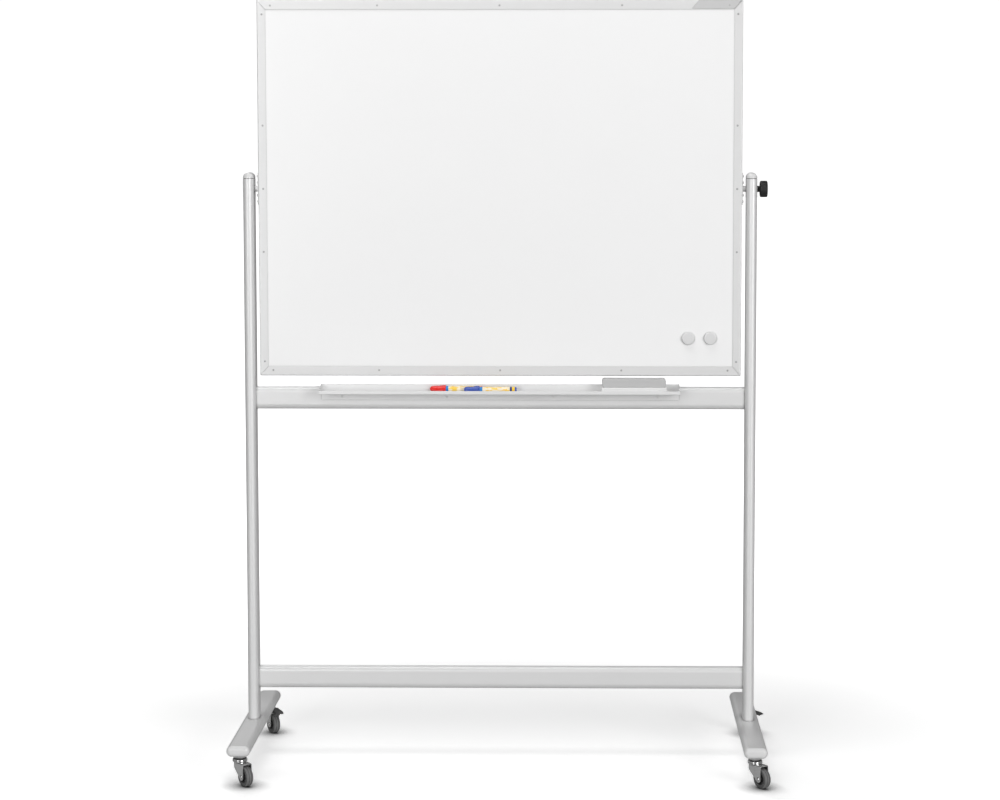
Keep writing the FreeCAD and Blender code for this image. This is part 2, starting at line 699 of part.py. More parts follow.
def make_tray():
    half = TRAY_HALF_LENGTH
    inner_back = TRAY_BACK_Y - TRAY_SHEET
    underside = TRAY_FLOOR - TRAY_SHEET
    wall = block(-half, half, inner_back, TRAY_BACK_Y, TRAY_FLANGE_BOTTOM, TRAY_BACK_TOP)
    floor = block(-half, half, TRAY_FRONT_Y, inner_back, underside, TRAY_FLOOR)
    lip = block(-half, half, TRAY_FRONT_Y, TRAY_FRONT_Y + TRAY_SHEET, TRAY_FLOOR, TRAY_LIP_TOP)
    tray = wall.fuse([floor, lip]).removeSplitter()
    bend = []
    for edge in edges_along(tray, X_AXIS):
        point = edge.CenterOfMass
        if abs(point.y - TRAY_FRONT_Y) < 0.01 and abs(point.z - underside) < 0.01:
            bend.append(edge)
    tray = tray.makeFillet(TRAY_LIP_ROUND, bend)
    holes = []
    for x in TRAY_SCREWS_X:
        holes.append(rod_y(TRAY_SCREW_HOLE, inner_back - 1, TRAY_BACK_Y + 1, x, TRAY_SCREW_Z))
    return tray.cut(holes)


def make_tray_caps():
    """Thin plates that close the tray's two ends."""
    underside = TRAY_FLOOR - TRAY_SHEET
    start = TRAY_HALF_LENGTH
    corners = [
        Vector(start, TRAY_BACK_Y, underside),
        Vector(start, TRAY_FRONT_Y, underside),
        Vector(start, TRAY_FRONT_Y, TRAY_LIP_TOP),
        Vector(start, TRAY_BACK_Y - 4 * TRAY_SHEET, TRAY_BACK_TOP),
        Vector(start, TRAY_BACK_Y, TRAY_BACK_TOP),
    ]
    right = prism(corners, Vector(TRAY_CAP_THICKNESS, 0, 0))
    return Part.makeCompound([right, right.mirror(Vector(), X_AXIS)])


def make_tray_screws():
    seat = TRAY_BACK_Y - TRAY_SHEET
    crown = seat - TRAY_SCREW_HEAD_HEIGHT
    head = rod_y(TRAY_SCREW_HEAD_RADIUS, crown, seat)
    head = head.makeFillet(TRAY_SCREW_HEAD_HEIGHT / 2, edges_at(head, Y_AXIS, crown))
    screw = head.fuse(rod_y(TRAY_SCREW_RADIUS, seat, seat + TRAY_SCREW_LENGTH))
    return Part.makeCompound([moved(screw, x, 0, TRAY_SCREW_Z) for x in TRAY_SCREWS_X])


# ---- loose things ----------------------------------------------------------------------


def make_eraser():
    right = ERASER_LEFT + ERASER_LENGTH
    front = ERASER_BACK_Y - ERASER_DEPTH
    low = TRAY_FLOOR + REST_GAP
    felt = block(ERASER_LEFT, right, front, ERASER_BACK_Y, low, low + FELT_HEIGHT)
    grip = block(ERASER_LEFT + GRIP_INSET, right - GRIP_INSET, front + GRIP_INSET,
                 ERASER_BACK_Y - GRIP_INSET, low + FELT_HEIGHT, ERASER_TOP)
    grip = grip.makeFillet(GRIP_ROUND, edges_along(grip, Y_AXIS))
    save("eraser_felt", felt)
    save("eraser_grip", grip)


def make_marker(left, y):
    """A capped marker along X, cap to the left, as two solids: cap and barrel."""
    z = TRAY_FLOOR + REST_GAP + CAP_RADIUS
    nose = Part.makeCone(MARKER_END_RADIUS, CAP_RADIUS, MARKER_END_TAPER, Vector(), X_AXIS)
    clip = block(CAP_LENGTH - CLIP_LENGTH, CAP_LENGTH, -CLIP_WIDTH / 2, CLIP_WIDTH / 2,
                 0, CAP_RADIUS + CLIP_HEIGHT)
    cap = nose.fuse([rod_x(CAP_RADIUS, MARKER_END_TAPER, CAP_LENGTH), clip])
    taper_start = MARKER_LENGTH - MARKER_END_TAPER
    tail = Part.makeCone(MARKER_RADIUS, MARKER_END_RADIUS, MARKER_END_TAPER,
                         Vector(taper_start, 0, 0), X_AXIS)
    barrel = rod_x(MARKER_RADIUS, CAP_LENGTH, taper_start).fuse(tail)
    return moved(Part.makeCompound([cap, barrel]), left, y, z)


def make_magnet(x):
    back = -SHEET_FRONT - MAGNET_GAP
    crown = back - MAGNET_HEIGHT
    magnet = rod_y(MAGNET_RADIUS, crown, back, x, MAGNET_Z)
    return magnet.makeFillet(MAGNET_ROUND, edges_at(magnet, Y_AXIS, crown))


# ---- casters ---------------------------------------------------------------------------


def leg_outline():
    """The side view of a fork leg: down the front, along to the axle and up the back."""
    centre = Vector(TRAIL, 0, WHEEL_RADIUS)
    knee = Vector(LEG_FRONT_X, 0, LEG_KNEE_Z)
    reach = centre - knee
    tangent = math.sqrt(reach.Length ** 2 - LEG_END_RADIUS ** 2)
    heading = math.atan2(reach.z, reach.x) - math.asin(LEG_END_RADIUS / reach.Length)
    touch = knee + Vector(math.cos(heading), 0, math.sin(heading)) * tangent
    back = TRAIL + LEG_END_RADIUS
    sweep = math.atan2(touch.z - centre.z, touch.x - centre.x) / 2
    lowest = centre + Vector(math.cos(sweep), 0, math.sin(sweep)) * LEG_END_RADIUS
    top_front = Vector(LEG_FRONT_X, 0, FORK_PLATE_TOP)
    top_back = Vector(back, 0, FORK_PLATE_TOP)
    axle_back = Vector(back, 0, WHEEL_RADIUS)
    curves = [
        Part.LineSegment(top_front, knee),
        Part.LineSegment(knee, touch),
        Part.Arc(touch, lowest, axle_back),
        Part.LineSegment(axle_back, top_back),
        Part.LineSegment(top_back, top_front),
    ]
    return Part.Face(Part.Wire([curve.toShape() for curve in curves]))


def caster_fork(braked):
    """The pressed fork with its swivel head."""
    leg = leg_outline().extrude(Vector(0, LEG_THICKNESS, 0))
    outside = LEG_INSIDE + LEG_THICKNESS
    plate = rod_z(FORK_PLATE_RADIUS, FORK_PLATE_BOTTOM, FORK_PLATE_TOP)
    bridge = block(0, TRAIL + LEG_END_RADIUS, -outside, outside, FORK_PLATE_BOTTOM, FORK_PLATE_TOP)
    head = rod_z(HEAD_RADIUS, FORK_PLATE_TOP, HEAD_TOP)
    rims = edges_at(head, Z_AXIS, FORK_PLATE_TOP) + edges_at(head, Z_AXIS, HEAD_TOP)
    head = head.makeFillet(HEAD_ROUND, rims)
    legs = [moved(leg, y=LEG_INSIDE), moved(leg, y=-outside)]
    fork = plate.fuse([bridge, head] + legs).removeSplitter()
    holes = [
        rod_z(KING_PIN_HOLE, FORK_PLATE_BOTTOM - 1, HEAD_TOP + 1),
        rod_y(HUB_BORE_RADIUS, -outside - 1, outside + 1, TRAIL, WHEEL_RADIUS),
    ]
    if braked:
        holes.append(rod_y(PEDAL_PIN_HOLE, -outside - 1, outside + 1, *PEDAL_PIVOT))
    return fork.cut(holes)


def caster_axle():
    """The axle pin with a domed head at each end."""
    seat = LEG_INSIDE + LEG_THICKNESS
    crown = seat + AXLE_HEAD_HEIGHT
    head = rod_y(AXLE_HEAD_RADIUS, seat, crown, TRAIL, WHEEL_RADIUS)
    head = head.makeFillet(AXLE_HEAD_HEIGHT / 2, edges_at(head, Y_AXIS, crown))
    other = head.mirror(Vector(), Y_AXIS)
    pin = rod_y(AXLE_RADIUS, -seat, seat, TRAIL, WHEEL_RADIUS)
    return pin.fuse([head, other])


def wheel_ring(outline):
    """A ring round the wheel's axle from corners given as radius and Y."""
    points = [Vector(radius, y, 0) for radius, y in outline]
    face = Part.Face(Part.makePolygon(points + points[:1]))
    return moved(face.revolve(Vector(), Y_AXIS, 360), TRAIL, 0, WHEEL_RADIUS)


def caster_hub():
    steps = [(BOSS_RADIUS, BOSS_HALF_WIDTH), (RIM_INNER_RADIUS, WEB_HALF_WIDTH),
             (RIM_RADIUS, RIM_HALF_WIDTH)]
    inner = HUB_BORE_RADIUS
    upper = []
    for outer, half_width in steps:
        upper += [(inner, half_width), (outer, half_width)]
        inner = outer
    lower = [(radius, -y) for radius, y in reversed(upper)]
    return wheel_ring(upper + lower)


def caster_tyre():
    half = TYRE_HALF_WIDTH
    tyre = wheel_ring([(RIM_RADIUS, -half), (WHEEL_RADIUS, -half),
                       (WHEEL_RADIUS, half), (RIM_RADIUS, half)])
    shoulders = []
    for edge in edges_at(tyre, Y_AXIS, half) + edges_at(tyre, Y_AXIS, -half):
        if isinstance(edge.Curve, Part.Circle) and edge.Curve.Radius > RIM_RADIUS + 1:
            shoulders.append(edge)
    tyre = tyre.makeFillet(TYRE_SHOULDER, shoulders)
    grooves = []
    for y in TYRE_GROOVES_Y:
        grooves.append(Part.makeTorus(WHEEL_RADIUS, TYRE_GROOVE_RADIUS,
                                      Vector(TRAIL, y, WHEEL_RADIUS), Y_AXIS))
    return tyre.cut(grooves)


def brake_pedal():
    """A foot pedal over the wheel, with ears, pins and the tongue that meets the tyre."""
    heel = Vector(PEDAL_START[0], -PEDAL_HALF_WIDTH, PEDAL_START[1])
    toe = Vector(PEDAL_END[0], -PEDAL_HALF_WIDTH, PEDAL_END[1])
    down = Vector(0, 0, -PEDAL_THICKNESS)
    tread = prism([heel, toe, toe + down, heel + down], Vector(0, 2 * PEDAL_HALF_WIDTH, 0))
    toe_corners = []
    for edge in tread.Edges:
        centre = edge.CenterOfMass
        if abs(centre.x - PEDAL_END[0]) < 0.01 and abs(centre.y) > PEDAL_HALF_WIDTH - 0.01:
            toe_corners.append(edge)
    tread = tread.makeFillet(PEDAL_TOE_ROUND, toe_corners)
    pivot_x, pivot_z = PEDAL_PIVOT
    under_ear = PEDAL_START[1] - PEDAL_THICKNESS
    pieces = []
    for side in (-1, 1):
        low_y, high_y = sorted((side * EAR_INSIDE, side * PEDAL_HALF_WIDTH))
        pieces.append(block(EAR_X[0], EAR_X[1] - 1, low_y, high_y, pivot_z, under_ear))
        pieces.append(rod_y(EAR_RADIUS, low_y, high_y, pivot_x, pivot_z))
        pieces.append(rod_y(PEDAL_PIN_RADIUS, side * LEG_INSIDE, side * EAR_INSIDE,
                            pivot_x, pivot_z))
    pieces.append(block(*TONGUE_X, -TONGUE_HALF_WIDTH, TONGUE_HALF_WIDTH,
                        TONGUE_BOTTOM, PEDAL_END[1]))
    return tread.fuse(pieces).removeSplitter()


def caster_stem():
    """The fixed middle of a caster: threaded stem, flange, king pin and rivet head."""
    return rod_z(STEM_RADIUS, FOOT_UNDERSIDE, STEM_TOP).fuse([
        rod_z(NECK_RADIUS, FLANGE_TOP, FOOT_UNDERSIDE),
        rod_z(FLANGE_RADIUS, FLANGE_BOTTOM, FLANGE_TOP),
        rod_z(KING_PIN_RADIUS, RIVET_TOP, FLANGE_BOTTOM),
        rod_z(RIVET_RADIUS, RIVET_TOP - RIVET_HEIGHT, RIVET_TOP),
    ])


def bearing_ring():
    ring = rod_z(RING_RADIUS, RING_BOTTOM, RING_TOP)
    return ring.cut(rod_z(KING_PIN_HOLE, RING_BOTTOM - 1, RING_TOP + 1))


def make_casters():
    stems = []
    rings = []
    for name, (side, way, toe_in) in CASTERS.items():
        braked = way > 0
        pieces = {
            "fork": caster_fork(braked),
            "axle": caster_axle(),
            "hub": caster_hub(),
            "tyre": caster_tyre(),
        }
        if braked:
            pieces["brake_pedal"] = brake_pedal()
        x = side * POST_X
        y = way * CASTER_Y
        for piece, shape in pieces.items():
            save(name + "_" + piece, moved(turned(shape, Z_AXIS, toe_in - 90), x, y))
        stems.append(moved(caster_stem(), x, y))
        rings.append(moved(bearing_ring(), x, y))
    save("caster_stems", Part.makeCompound(stems))
    save("swivel_bearing_rings", Part.makeCompound(rings))


# ---- all pieces ------------------------------------------------------------------------

for side_name, side_sign in SIDES.items():
    save(side_name + "_post", make_post(side_sign))
    save(side_name + "_post_cap", make_post_cap(side_sign))
    save(side_name + "_foot", make_foot(side_sign))
    save(side_name + "_pivot_bracket", make_pivot_bracket(side_sign))
    save(side_name + "_pivot_bush", make_bush(side_sign))

save("middle_rail", make_middle_rail())
save("lower_rail", make_rail(LOWER_RAIL_HEIGHT))
save("foot_end_caps", make_foot_caps())
save("foot_thread_blocks", make_thread_blocks())
make_joint_parts()

make_frame()
make_panel()
save("frame_corner_brackets", make_corner_brackets())
save("frame_screws", make_frame_screws())
save("name_plate", make_name_plate())
save("pivot_plate_screws", make_pivot_screws())
make_clamp()

save("pen_tray", make_tray())
save("tray_end_caps", make_tray_caps())
save("tray_screws", make_tray_screws())

make_eraser()
for marker_name, (marker_left, marker_y) in MARKERS.items():
    save(marker_name, make_marker(marker_left, marker_y))
for magnet_name, magnet_x in MAGNETS.items():
    save(magnet_name, make_magnet(magnet_x))

make_casters()
print("pieces written:", len(os.listdir("parts")))
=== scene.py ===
import json
import math
import random

import bmesh
import bpy
from mathutils import Matrix, Vector


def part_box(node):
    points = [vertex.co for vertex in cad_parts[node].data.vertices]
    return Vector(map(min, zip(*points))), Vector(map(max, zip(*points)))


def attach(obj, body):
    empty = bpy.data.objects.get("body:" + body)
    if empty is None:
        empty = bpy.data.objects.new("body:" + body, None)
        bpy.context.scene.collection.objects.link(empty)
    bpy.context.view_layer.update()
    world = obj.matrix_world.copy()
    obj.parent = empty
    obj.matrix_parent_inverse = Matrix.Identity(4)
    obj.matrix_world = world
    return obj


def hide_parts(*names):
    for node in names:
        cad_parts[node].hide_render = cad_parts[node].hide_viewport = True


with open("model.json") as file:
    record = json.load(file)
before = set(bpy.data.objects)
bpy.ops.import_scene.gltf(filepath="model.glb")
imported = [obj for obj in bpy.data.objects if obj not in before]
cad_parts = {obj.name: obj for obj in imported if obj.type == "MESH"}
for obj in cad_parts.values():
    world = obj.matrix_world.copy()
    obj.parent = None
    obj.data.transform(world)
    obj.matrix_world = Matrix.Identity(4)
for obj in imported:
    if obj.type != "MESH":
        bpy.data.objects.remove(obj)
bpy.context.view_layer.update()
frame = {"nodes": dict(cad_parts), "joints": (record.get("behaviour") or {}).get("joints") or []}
nodes = frame["nodes"]
joints = {joint["name"]: joint for joint in frame["joints"]}
corners = ("front_left", "front_right", "rear_left", "rear_right")
mm = 0.001
chance = random.Random(11)
print("frame loaded:", len(nodes), "nodes")


# mesh helpers

def sharpEdges(bm, degrees=30):
    limit = math.radians(degrees)
    return [e for e in bm.edges if len(e.link_faces) == 2 and e.calc_face_angle(0) > limit]


def span(edge, axis):  # how far an edge runs along x, y or z
    first, second = (getattr(v.co, axis) for v in edge.verts)
    return abs(first - second)


def only(geom, kind):
    return [g for g in geom if isinstance(g, kind)]


def soften(bm, width, segments=2, degrees=30, edges=None):
    chosen = sharpEdges(bm, degrees) if edges is None else edges
    bmesh.ops.bevel(bm, geom=chosen, offset=width, offset_type="OFFSET", segments=segments,
                    profile=0.5, affect="EDGES", clamp_overlap=True, material=-1)


def slab(low, high):
    bm = bmesh.new()
    low, high = Vector(low), Vector(high)
    bmesh.ops.create_cube(bm, size=1)
    bmesh.ops.scale(bm, vec=high - low, verts=bm.verts)
    bmesh.ops.translate(bm, vec=(low + high) / 2, verts=bm.verts)
    return bm


def pushOut(points, run):  # a flat outline pushed along run
    bm = bmesh.new()
    face = bm.faces.new([bm.verts.new(p) for p in points])
    made = bmesh.ops.extrude_face_region(bm, geom=[face])["geom"]
    bmesh.ops.translate(bm, vec=run, verts=only(made, bmesh.types.BMVert))
    bmesh.ops.recalc_face_normals(bm, faces=bm.faces)
    return bm


def lathe(profile, steps, ring=False):  # (radius, height) turned round Z
    bm = bmesh.new()
    verts = [bm.verts.new((r, 0, h)) for r, h in profile]
    ends = verts[1:] + (verts[:1] if ring else [])
    edges = [bm.edges.new(pair) for pair in zip(verts, ends)]
    bmesh.ops.spin(bm, geom=verts + edges, cent=(0, 0, 0), axis=(0, 0, 1),
                   angle=2 * math.pi, steps=steps, use_merge=True)
    bmesh.ops.remove_doubles(bm, verts=bm.verts, dist=0.002 * mm)
    bmesh.ops.recalc_face_normals(bm, faces=bm.faces)
    return bm


def place(bm, matrix):
    bmesh.ops.transform(bm, matrix=matrix, verts=bm.verts)
    if matrix.determinant() < 0:
        bmesh.ops.reverse_faces(bm, faces=bm.faces)
    return bm


def join(*parts):  # several shells in one mesh
    whole = bmesh.new()
    for part in parts:
        mesh = bpy.data.meshes.new("part")
        part.to_mesh(mesh)
        whole.from_mesh(mesh)
        bpy.data.meshes.remove(mesh)
        part.free()
    return whole


def cutAway(bm, point, normal, close=True):  # takes off what is on the normal's side
    cut = bmesh.ops.bisect_plane(bm, geom=bm.verts[:] + bm.edges[:] + bm.faces[:], dist=0.001 * mm,
                                 plane_co=point, plane_no=normal, clear_outer=True)
    if close:
        bmesh.ops.holes_fill(bm, edges=only(cut["geom_cut"], bmesh.types.BMEdge), sides=0)


def finishPiece(bm, name, looks, body, stands=(), smooth=38):
    mesh = bpy.data.meshes.new(name)
    bm.to_mesh(mesh)
    bm.free()
    for look in looks if isinstance(looks, list) else [looks]:
        mesh.materials.append(look)
    mesh.polygons.foreach_set("use_smooth", [True] * len(mesh.polygons))
    mesh.set_sharp_from_angle(angle=math.radians(smooth))
    piece = bpy.data.objects.new(name, mesh)
    bpy.context.scene.collection.objects.link(piece)
    weighted = piece.modifiers.new("flatFaces", "WEIGHTED_NORMAL")
    weighted.keep_sharp = True
    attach(piece, body)
    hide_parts(*stands)
    return piece


def turnBy(degrees, axis):
    return Matrix.Rotation(math.radians(degrees), 4, axis)


def alongX(way=1):  # stands a lathe's axis on X
    return turnBy(90 * way, "Y")


def alongY(way=1):
    return turnBy(-90 * way, "X")


def at(x, y, z):
    return Matrix.Translation((x, y, z))


# shader node groups, each built once

midGray = (0.5, 0.5, 0.5, 1)
socketKinds = {3: "NodeSocketVector", 4: "NodeSocketColor"}


def startGroup(name, output, outputKind, **inputs):
    group = bpy.data.node_groups.new(name, "ShaderNodeTree")
    for label, value in inputs.items():
        kind = socketKinds[len(value)] if isinstance(value, tuple) else "NodeSocketFloat"
        socket = group.interface.new_socket(label, in_out="INPUT", socket_type=kind)
        socket.default_value = value
    group.interface.new_socket(output, in_out="OUTPUT", socket_type=outputKind)
    given, made = group.nodes.new("NodeGroupInput"), group.nodes.new("NodeGroupOutput")
    return group, given.outputs, made.inputs[output]


def feed(tree, value, socket):  # a link where the value is a socket, a plain setting otherwise
    if isinstance(value, bpy.types.NodeSocket):
        tree.links.new(value, socket)
    else:
        socket.default_value = value


def addNode(tree, kind, **settings):
    node = tree.nodes.new(kind)
    for name, value in settings.items():
        if name in node.inputs:
            feed(tree, value, node.inputs[name])
        else:
            setattr(node, name, value)
    return node


def objectSpot(tree):
    return addNode(tree, "ShaderNodeTexCoord").outputs["Object"]


def noiseOn(tree, vector, scale, detail=3.0, rough=0.55):
    return addNode(tree, "ShaderNodeTexNoise", Vector=vector, Scale=scale, Detail=detail,
                   Roughness=rough).outputs["Fac"]


def sums(tree, operation, a, b, clamp=False):
    node = addNode(tree, "ShaderNodeMath", operation=operation, use_clamp=clamp)
    for value, socket in zip((a, b), node.inputs):
        feed(tree, value, socket)
    return node.outputs[0]


def spread(tree, value, low, high):  # low to high becomes 0 to 1
    limits = {"From Min": low, "From Max": high}
    return addNode(tree, "ShaderNodeMapRange", Value=value, **limits).outputs[0]


def mixColors(tree, factor, first, second):
    node = addNode(tree, "ShaderNodeMix", data_type="RGBA", Factor=factor)
    for value, socket in ((first, node.inputs[6]), (second, node.inputs[7])):
        feed(tree, value, socket)
    return node.outputs[2]


def stretched(tree, stretch):  # the place on the object, drawn out along its axes
    node = addNode(tree, "ShaderNodeVectorMath", operation="MULTIPLY", Vector=objectSpot(tree))
    feed(tree, stretch, node.inputs[1])
    return node.outputs[0]


def makeToneShift():  # slow light and dark drift of a colour
    group, given, made = startGroup("toneShift", "Color", "NodeSocketColor",
                                    Color=midGray, Amount=0.05, Scale=6.0)
    drift = sums(group, "SUBTRACT", noiseOn(group, objectSpot(group), given["Scale"]), 0.5)
    drift = sums(group, "MULTIPLY", drift, given["Amount"])
    level = sums(group, "ADD", sums(group, "MULTIPLY", drift, 2.0), 1.0)
    toned = addNode(group, "ShaderNodeVectorMath", operation="SCALE", Vector=given["Color"],
                    Scale=level)
    feed(group, toned.outputs[0], made)
    return group


def makeRoughShift():  # hand marks and fine scuffs in the gloss
    group, given, made = startGroup("roughShift", "Roughness", "NodeSocketFloat",
                                    Roughness=0.4, Amount=0.1, Scale=12.0)
    spot = objectSpot(group)
    wide = noiseOn(group, spot, given["Scale"], 4.0, 0.6)
    fine = noiseOn(group, spot, sums(group, "MULTIPLY", given["Scale"], 14.0), 2.0, 0.5)
    mixed = sums(group, "ADD", sums(group, "MULTIPLY", wide, 0.7),
                 sums(group, "MULTIPLY", fine, 0.3))
    drift = sums(group, "MULTIPLY", sums(group, "SUBTRACT", mixed, 0.5), given["Amount"])
    drift = sums(group, "MULTIPLY", drift, 2.0)
    feed(group, sums(group, "ADD", given["Roughness"], drift, clamp=True), made)
    return group


def makeSurfaceGrain():  # fine relief, drawn out along an axis where Stretch says so
    group, given, made = startGroup("surfaceGrain", "Height", "NodeSocketFloat",
                                    Scale=900.0, Stretch=(1, 1, 1))
    feed(group, noiseOn(group, stretched(group, given["Stretch"]), given["Scale"], 3.0, 0.6), made)
    return group


def makeEdgeWear():  # paler where corners are rubbed
    group, given, made = startGroup("edgeWear", "Color", "NodeSocketColor", Color=midGray,
                                    Worn=(0.8, 0.8, 0.8, 1), Amount=0.5, Scale=90.0)
    corner = addNode(group, "ShaderNodeNewGeometry").outputs["Pointiness"]
    broken = sums(group, "MULTIPLY", spread(group, corner, 0.52, 0.60),
                  noiseOn(group, objectSpot(group), given["Scale"]))
    amount = sums(group, "MULTIPLY", given["Amount"], 2.0)
    mask = sums(group, "MULTIPLY", broken, amount, clamp=True)
    feed(group, mixColors(group, mask, given["Color"], given["Worn"]), made)
    return group


def makeCreaseShade():  # painted shade: darker in seams and inside corners, from an occlusion term
    group, given, made = startGroup("creaseShade", "Color", "NodeSocketColor",
                                    Color=midGray, Reach=0.004, Depth=1.0)
    openness = addNode(group, "ShaderNodeAmbientOcclusion", samples=8, Distance=given["Reach"])
    closed = sums(group, "SUBTRACT", 1.0, openness.outputs["AO"])
    darkness = sums(group, "MULTIPLY", closed, given["Depth"])
    shade = sums(group, "SUBTRACT", 1.0, darkness, clamp=True)
    feed(group, mixColors(group, shade, (0.01, 0.01, 0.01, 1), given["Color"]), made)
    return group


toneShift = makeToneShift()
roughShift = makeRoughShift()
surfaceGrain = makeSurfaceGrain()
edgeWear = makeEdgeWear()
creaseShade = makeCreaseShade()


def useGroup(tree, group, **values):
    node = addNode(tree, "ShaderNodeGroup", node_tree=group)
    for name, value in values.items():
        feed(tree, value, node.inputs[name])
    return node.outputs[0]


def gray(level):  # display level, 0 to 255, as a colour
    value = (level / 255) ** 2.2
    return (value, value, value, 1)


def tint(red, green, blue):
    return tuple((level / 255) ** 2.2 for level in (red, green, blue)) + (1,)


# color is a plain one or a pattern's function, grain is scale and strength, drawn is its stretch,
# and the crease setting is the reach and depth of painted shade in seams and inside corners
def makeLook(name, color, metallic, roughness, tone=(0.04, 6), rough=(0.08, 10),
             grain=(900, 0.05), drawn=(1, 1, 1), wear=None, coat=0.0, paintedCreaseShade=None):
    look = bpy.data.materials.new(name)
    look.use_nodes = True
    tree = look.node_tree
    shader = tree.nodes["Principled BSDF"]
    shader.inputs["Metallic"].default_value = metallic
    shader.inputs["Coat Weight"].default_value = coat
    painted = useGroup(tree, toneShift, Color=color(tree) if callable(color) else color,
                       Amount=tone[0], Scale=tone[1])
    if wear:
        painted = useGroup(tree, edgeWear, Color=painted, Worn=wear[0], Amount=wear[1])
    # painted shade in seams and inside corners, darkening the colour
    if paintedCreaseShade:
        painted = useGroup(tree, creaseShade, Color=painted, Reach=paintedCreaseShade[0], Depth=paintedCreaseShade[1])
    gloss = useGroup(tree, roughShift, Roughness=roughness, Amount=rough[0], Scale=rough[1])
    relief = useGroup(tree, surfaceGrain, Scale=grain[0], Stretch=drawn)
    bump = addNode(tree, "ShaderNodeBump", Strength=grain[1], Distance=0.1 * mm, Height=relief)
    for source, label in ((painted, "Base Color"), (gloss, "Roughness"),
                          (bump.outputs["Normal"], "Normal")):
        tree.links.new(source, shader.inputs[label])
    return look


# finishes; those with a crease setting carry painted shade in seams and inside corners

silverPaint = makeLook("silverPaint", gray(220), 0.25, 0.42, tone=(0.02, 5), rough=(0.06, 9),
                       grain=(1500, 0.12), paintedCreaseShade=(0.006, 0.8))
capPlastic = makeLook("capPlastic", gray(217), 0.0, 0.3, tone=(0.02, 20), rough=(0.06, 30),
                      grain=(1200, 0.08))
barAlongX, barAlongZ = [
    makeLook("brushedBarAlong" + axis, gray(217), 0.3, 0.44, tone=(0.02, 5), rough=(0.06, 8),
             grain=(1800, 0.1), drawn=drawn, paintedCreaseShade=(0.004, 1.4))
    for axis, drawn in (("X", (0.02, 1, 1)), ("Z", (1, 1, 0.02)))]
trayMetal = makeLook("trayMetal", gray(227), 0.2, 0.36, tone=(0.02, 6), rough=(0.06, 8),
                     grain=(1800, 0.1), drawn=(0.03, 1, 1))
enamel = makeLook("writingEnamel", gray(243), 0.0, 0.22, tone=(0.006, 3), rough=(0.05, 4),
                  grain=(260, 0.015), coat=0.3, paintedCreaseShade=(0.004, 0.4))
plateGray = makeLook("plateGray", gray(194), 0.0, 0.5, grain=(2600, 0.25), paintedCreaseShade=(0.004, 1.4))
zincSteel = makeLook("zincSteel", gray(196), 0.9, 0.32, grain=(1400, 0.1), wear=(gray(225), 0.4))
screwSteel = makeLook("screwSteel", gray(165), 0.7, 0.4, grain=(1400, 0.1),
                      wear=(gray(200), 0.3))
# painted shade: a dark finish for the name plate's edges, drawing its outline
plateEdgeShade = makeLook("plateEdgeShade", gray(120), 0.3, 0.5, grain=(1400, 0.1))
insertMetal = makeLook("insertMetal", gray(200), 0.9, 0.45, grain=(1600, 0.2),
                       drawn=(0.05, 1, 1))
nylonBlack = makeLook("nylonBlack", gray(45), 0.0, 0.45, grain=(1500, 0.12))
knobBlack = makeLook("knobBlack", gray(22), 0.0, 0.5, tone=(0.12, 60), rough=(0.1, 60),
                     grain=(2400, 0.2), wear=(gray(60), 0.3))
gripGray = makeLook("gripGray", gray(186), 0.0, 0.5, grain=(2200, 0.3))
magnetWhite = makeLook("magnetWhite", gray(216), 0.0, 0.3, tone=(0.02, 60), grain=(900, 0.04))
chrome = makeLook("casterChrome", gray(214), 1.0, 0.14, tone=(0.05, 60), rough=(0.08, 80),
                  grain=(700, 0.03))
forkSteel = makeLook("forkSteel", gray(214), 0.8, 0.16, tone=(0.04, 60), rough=(0.05, 80),
                     grain=(900, 0.01), paintedCreaseShade=(0.007, 1.5))
axleSteel = makeLook("axleSteel", gray(225), 1.0, 0.2, tone=(0.05, 90), rough=(0.08, 90),
                     grain=(1200, 0.06))
hubBlack = makeLook("hubBlack", gray(48), 0.0, 0.5, tone=(0.1, 60), grain=(1600, 0.15))
tyreGray = makeLook("tyreGray", gray(106), 0.0, 0.62, tone=(0.08, 50), rough=(0.12, 60),
                    grain=(1300, 0.3), wear=(gray(140), 0.5), paintedCreaseShade=(0.003, 1.8))
pedalBlack = makeLook("pedalBlack", gray(66), 0.1, 0.42, tone=(0.1, 50), rough=(0.1, 60),
                      grain=(1500, 0.2), wear=(gray(120), 0.5))
redInk, blueInk, azureBand, navyBand, yellowBand = [
    makeLook(name, tint(*color), 0.0, roughness, grain=(900, 0.04), coat=coat)
    for name, color, roughness, coat in (
        ("redInk", (226, 38, 30), 0.28, 0.2), ("blueInk", (58, 84, 170), 0.28, 0.2),
        ("azureBand", (24, 128, 205), 0.3, 0.0), ("navyBand", (26, 52, 118), 0.3, 0.0),
        ("yellowBand", (252, 205, 52), 0.3, 0.0))]


def labelPattern(tree):  # cream barrel print with loose yellow strokes
    strokes = noiseOn(tree, stretched(tree, (70, 210, 210)), 1.0, 2.0, 0.6)
    return mixColors(tree, spread(tree, strokes, 0.5, 0.56), tint(244, 232, 208),
                     tint(250, 208, 84))


def honeycombPattern(tree):  # paper cell walls
    cells = addNode(tree, "ShaderNodeTexVoronoi", feature="DISTANCE_TO_EDGE", Scale=90.0,
                    Vector=objectSpot(tree))
    return mixColors(tree, spread(tree, cells.outputs["Distance"], 0, 0.08),
                     tint(196, 168, 128), tint(120, 96, 66))


def feltPattern(tree):  # pale fibres
    fibres = noiseOn(tree, objectSpot(tree), 1800.0, 5.0, 0.7)
    return mixColors(tree, spread(tree, fibres, 0.3, 0.7), gray(222), gray(246))


label = makeLook("markerLabel", labelPattern, 0.0, 0.32, grain=(900, 0.04))
cardboard = makeLook("cardboard", honeycombPattern, 0.0, 0.85, grain=(700, 0.4))
feltWhite = makeLook("feltWhite", feltPattern, 0.0, 0.95, grain=(1500, 0.8))
feltWhite.node_tree.nodes["Principled BSDF"].inputs["Sheen Weight"].default_value = 0.4

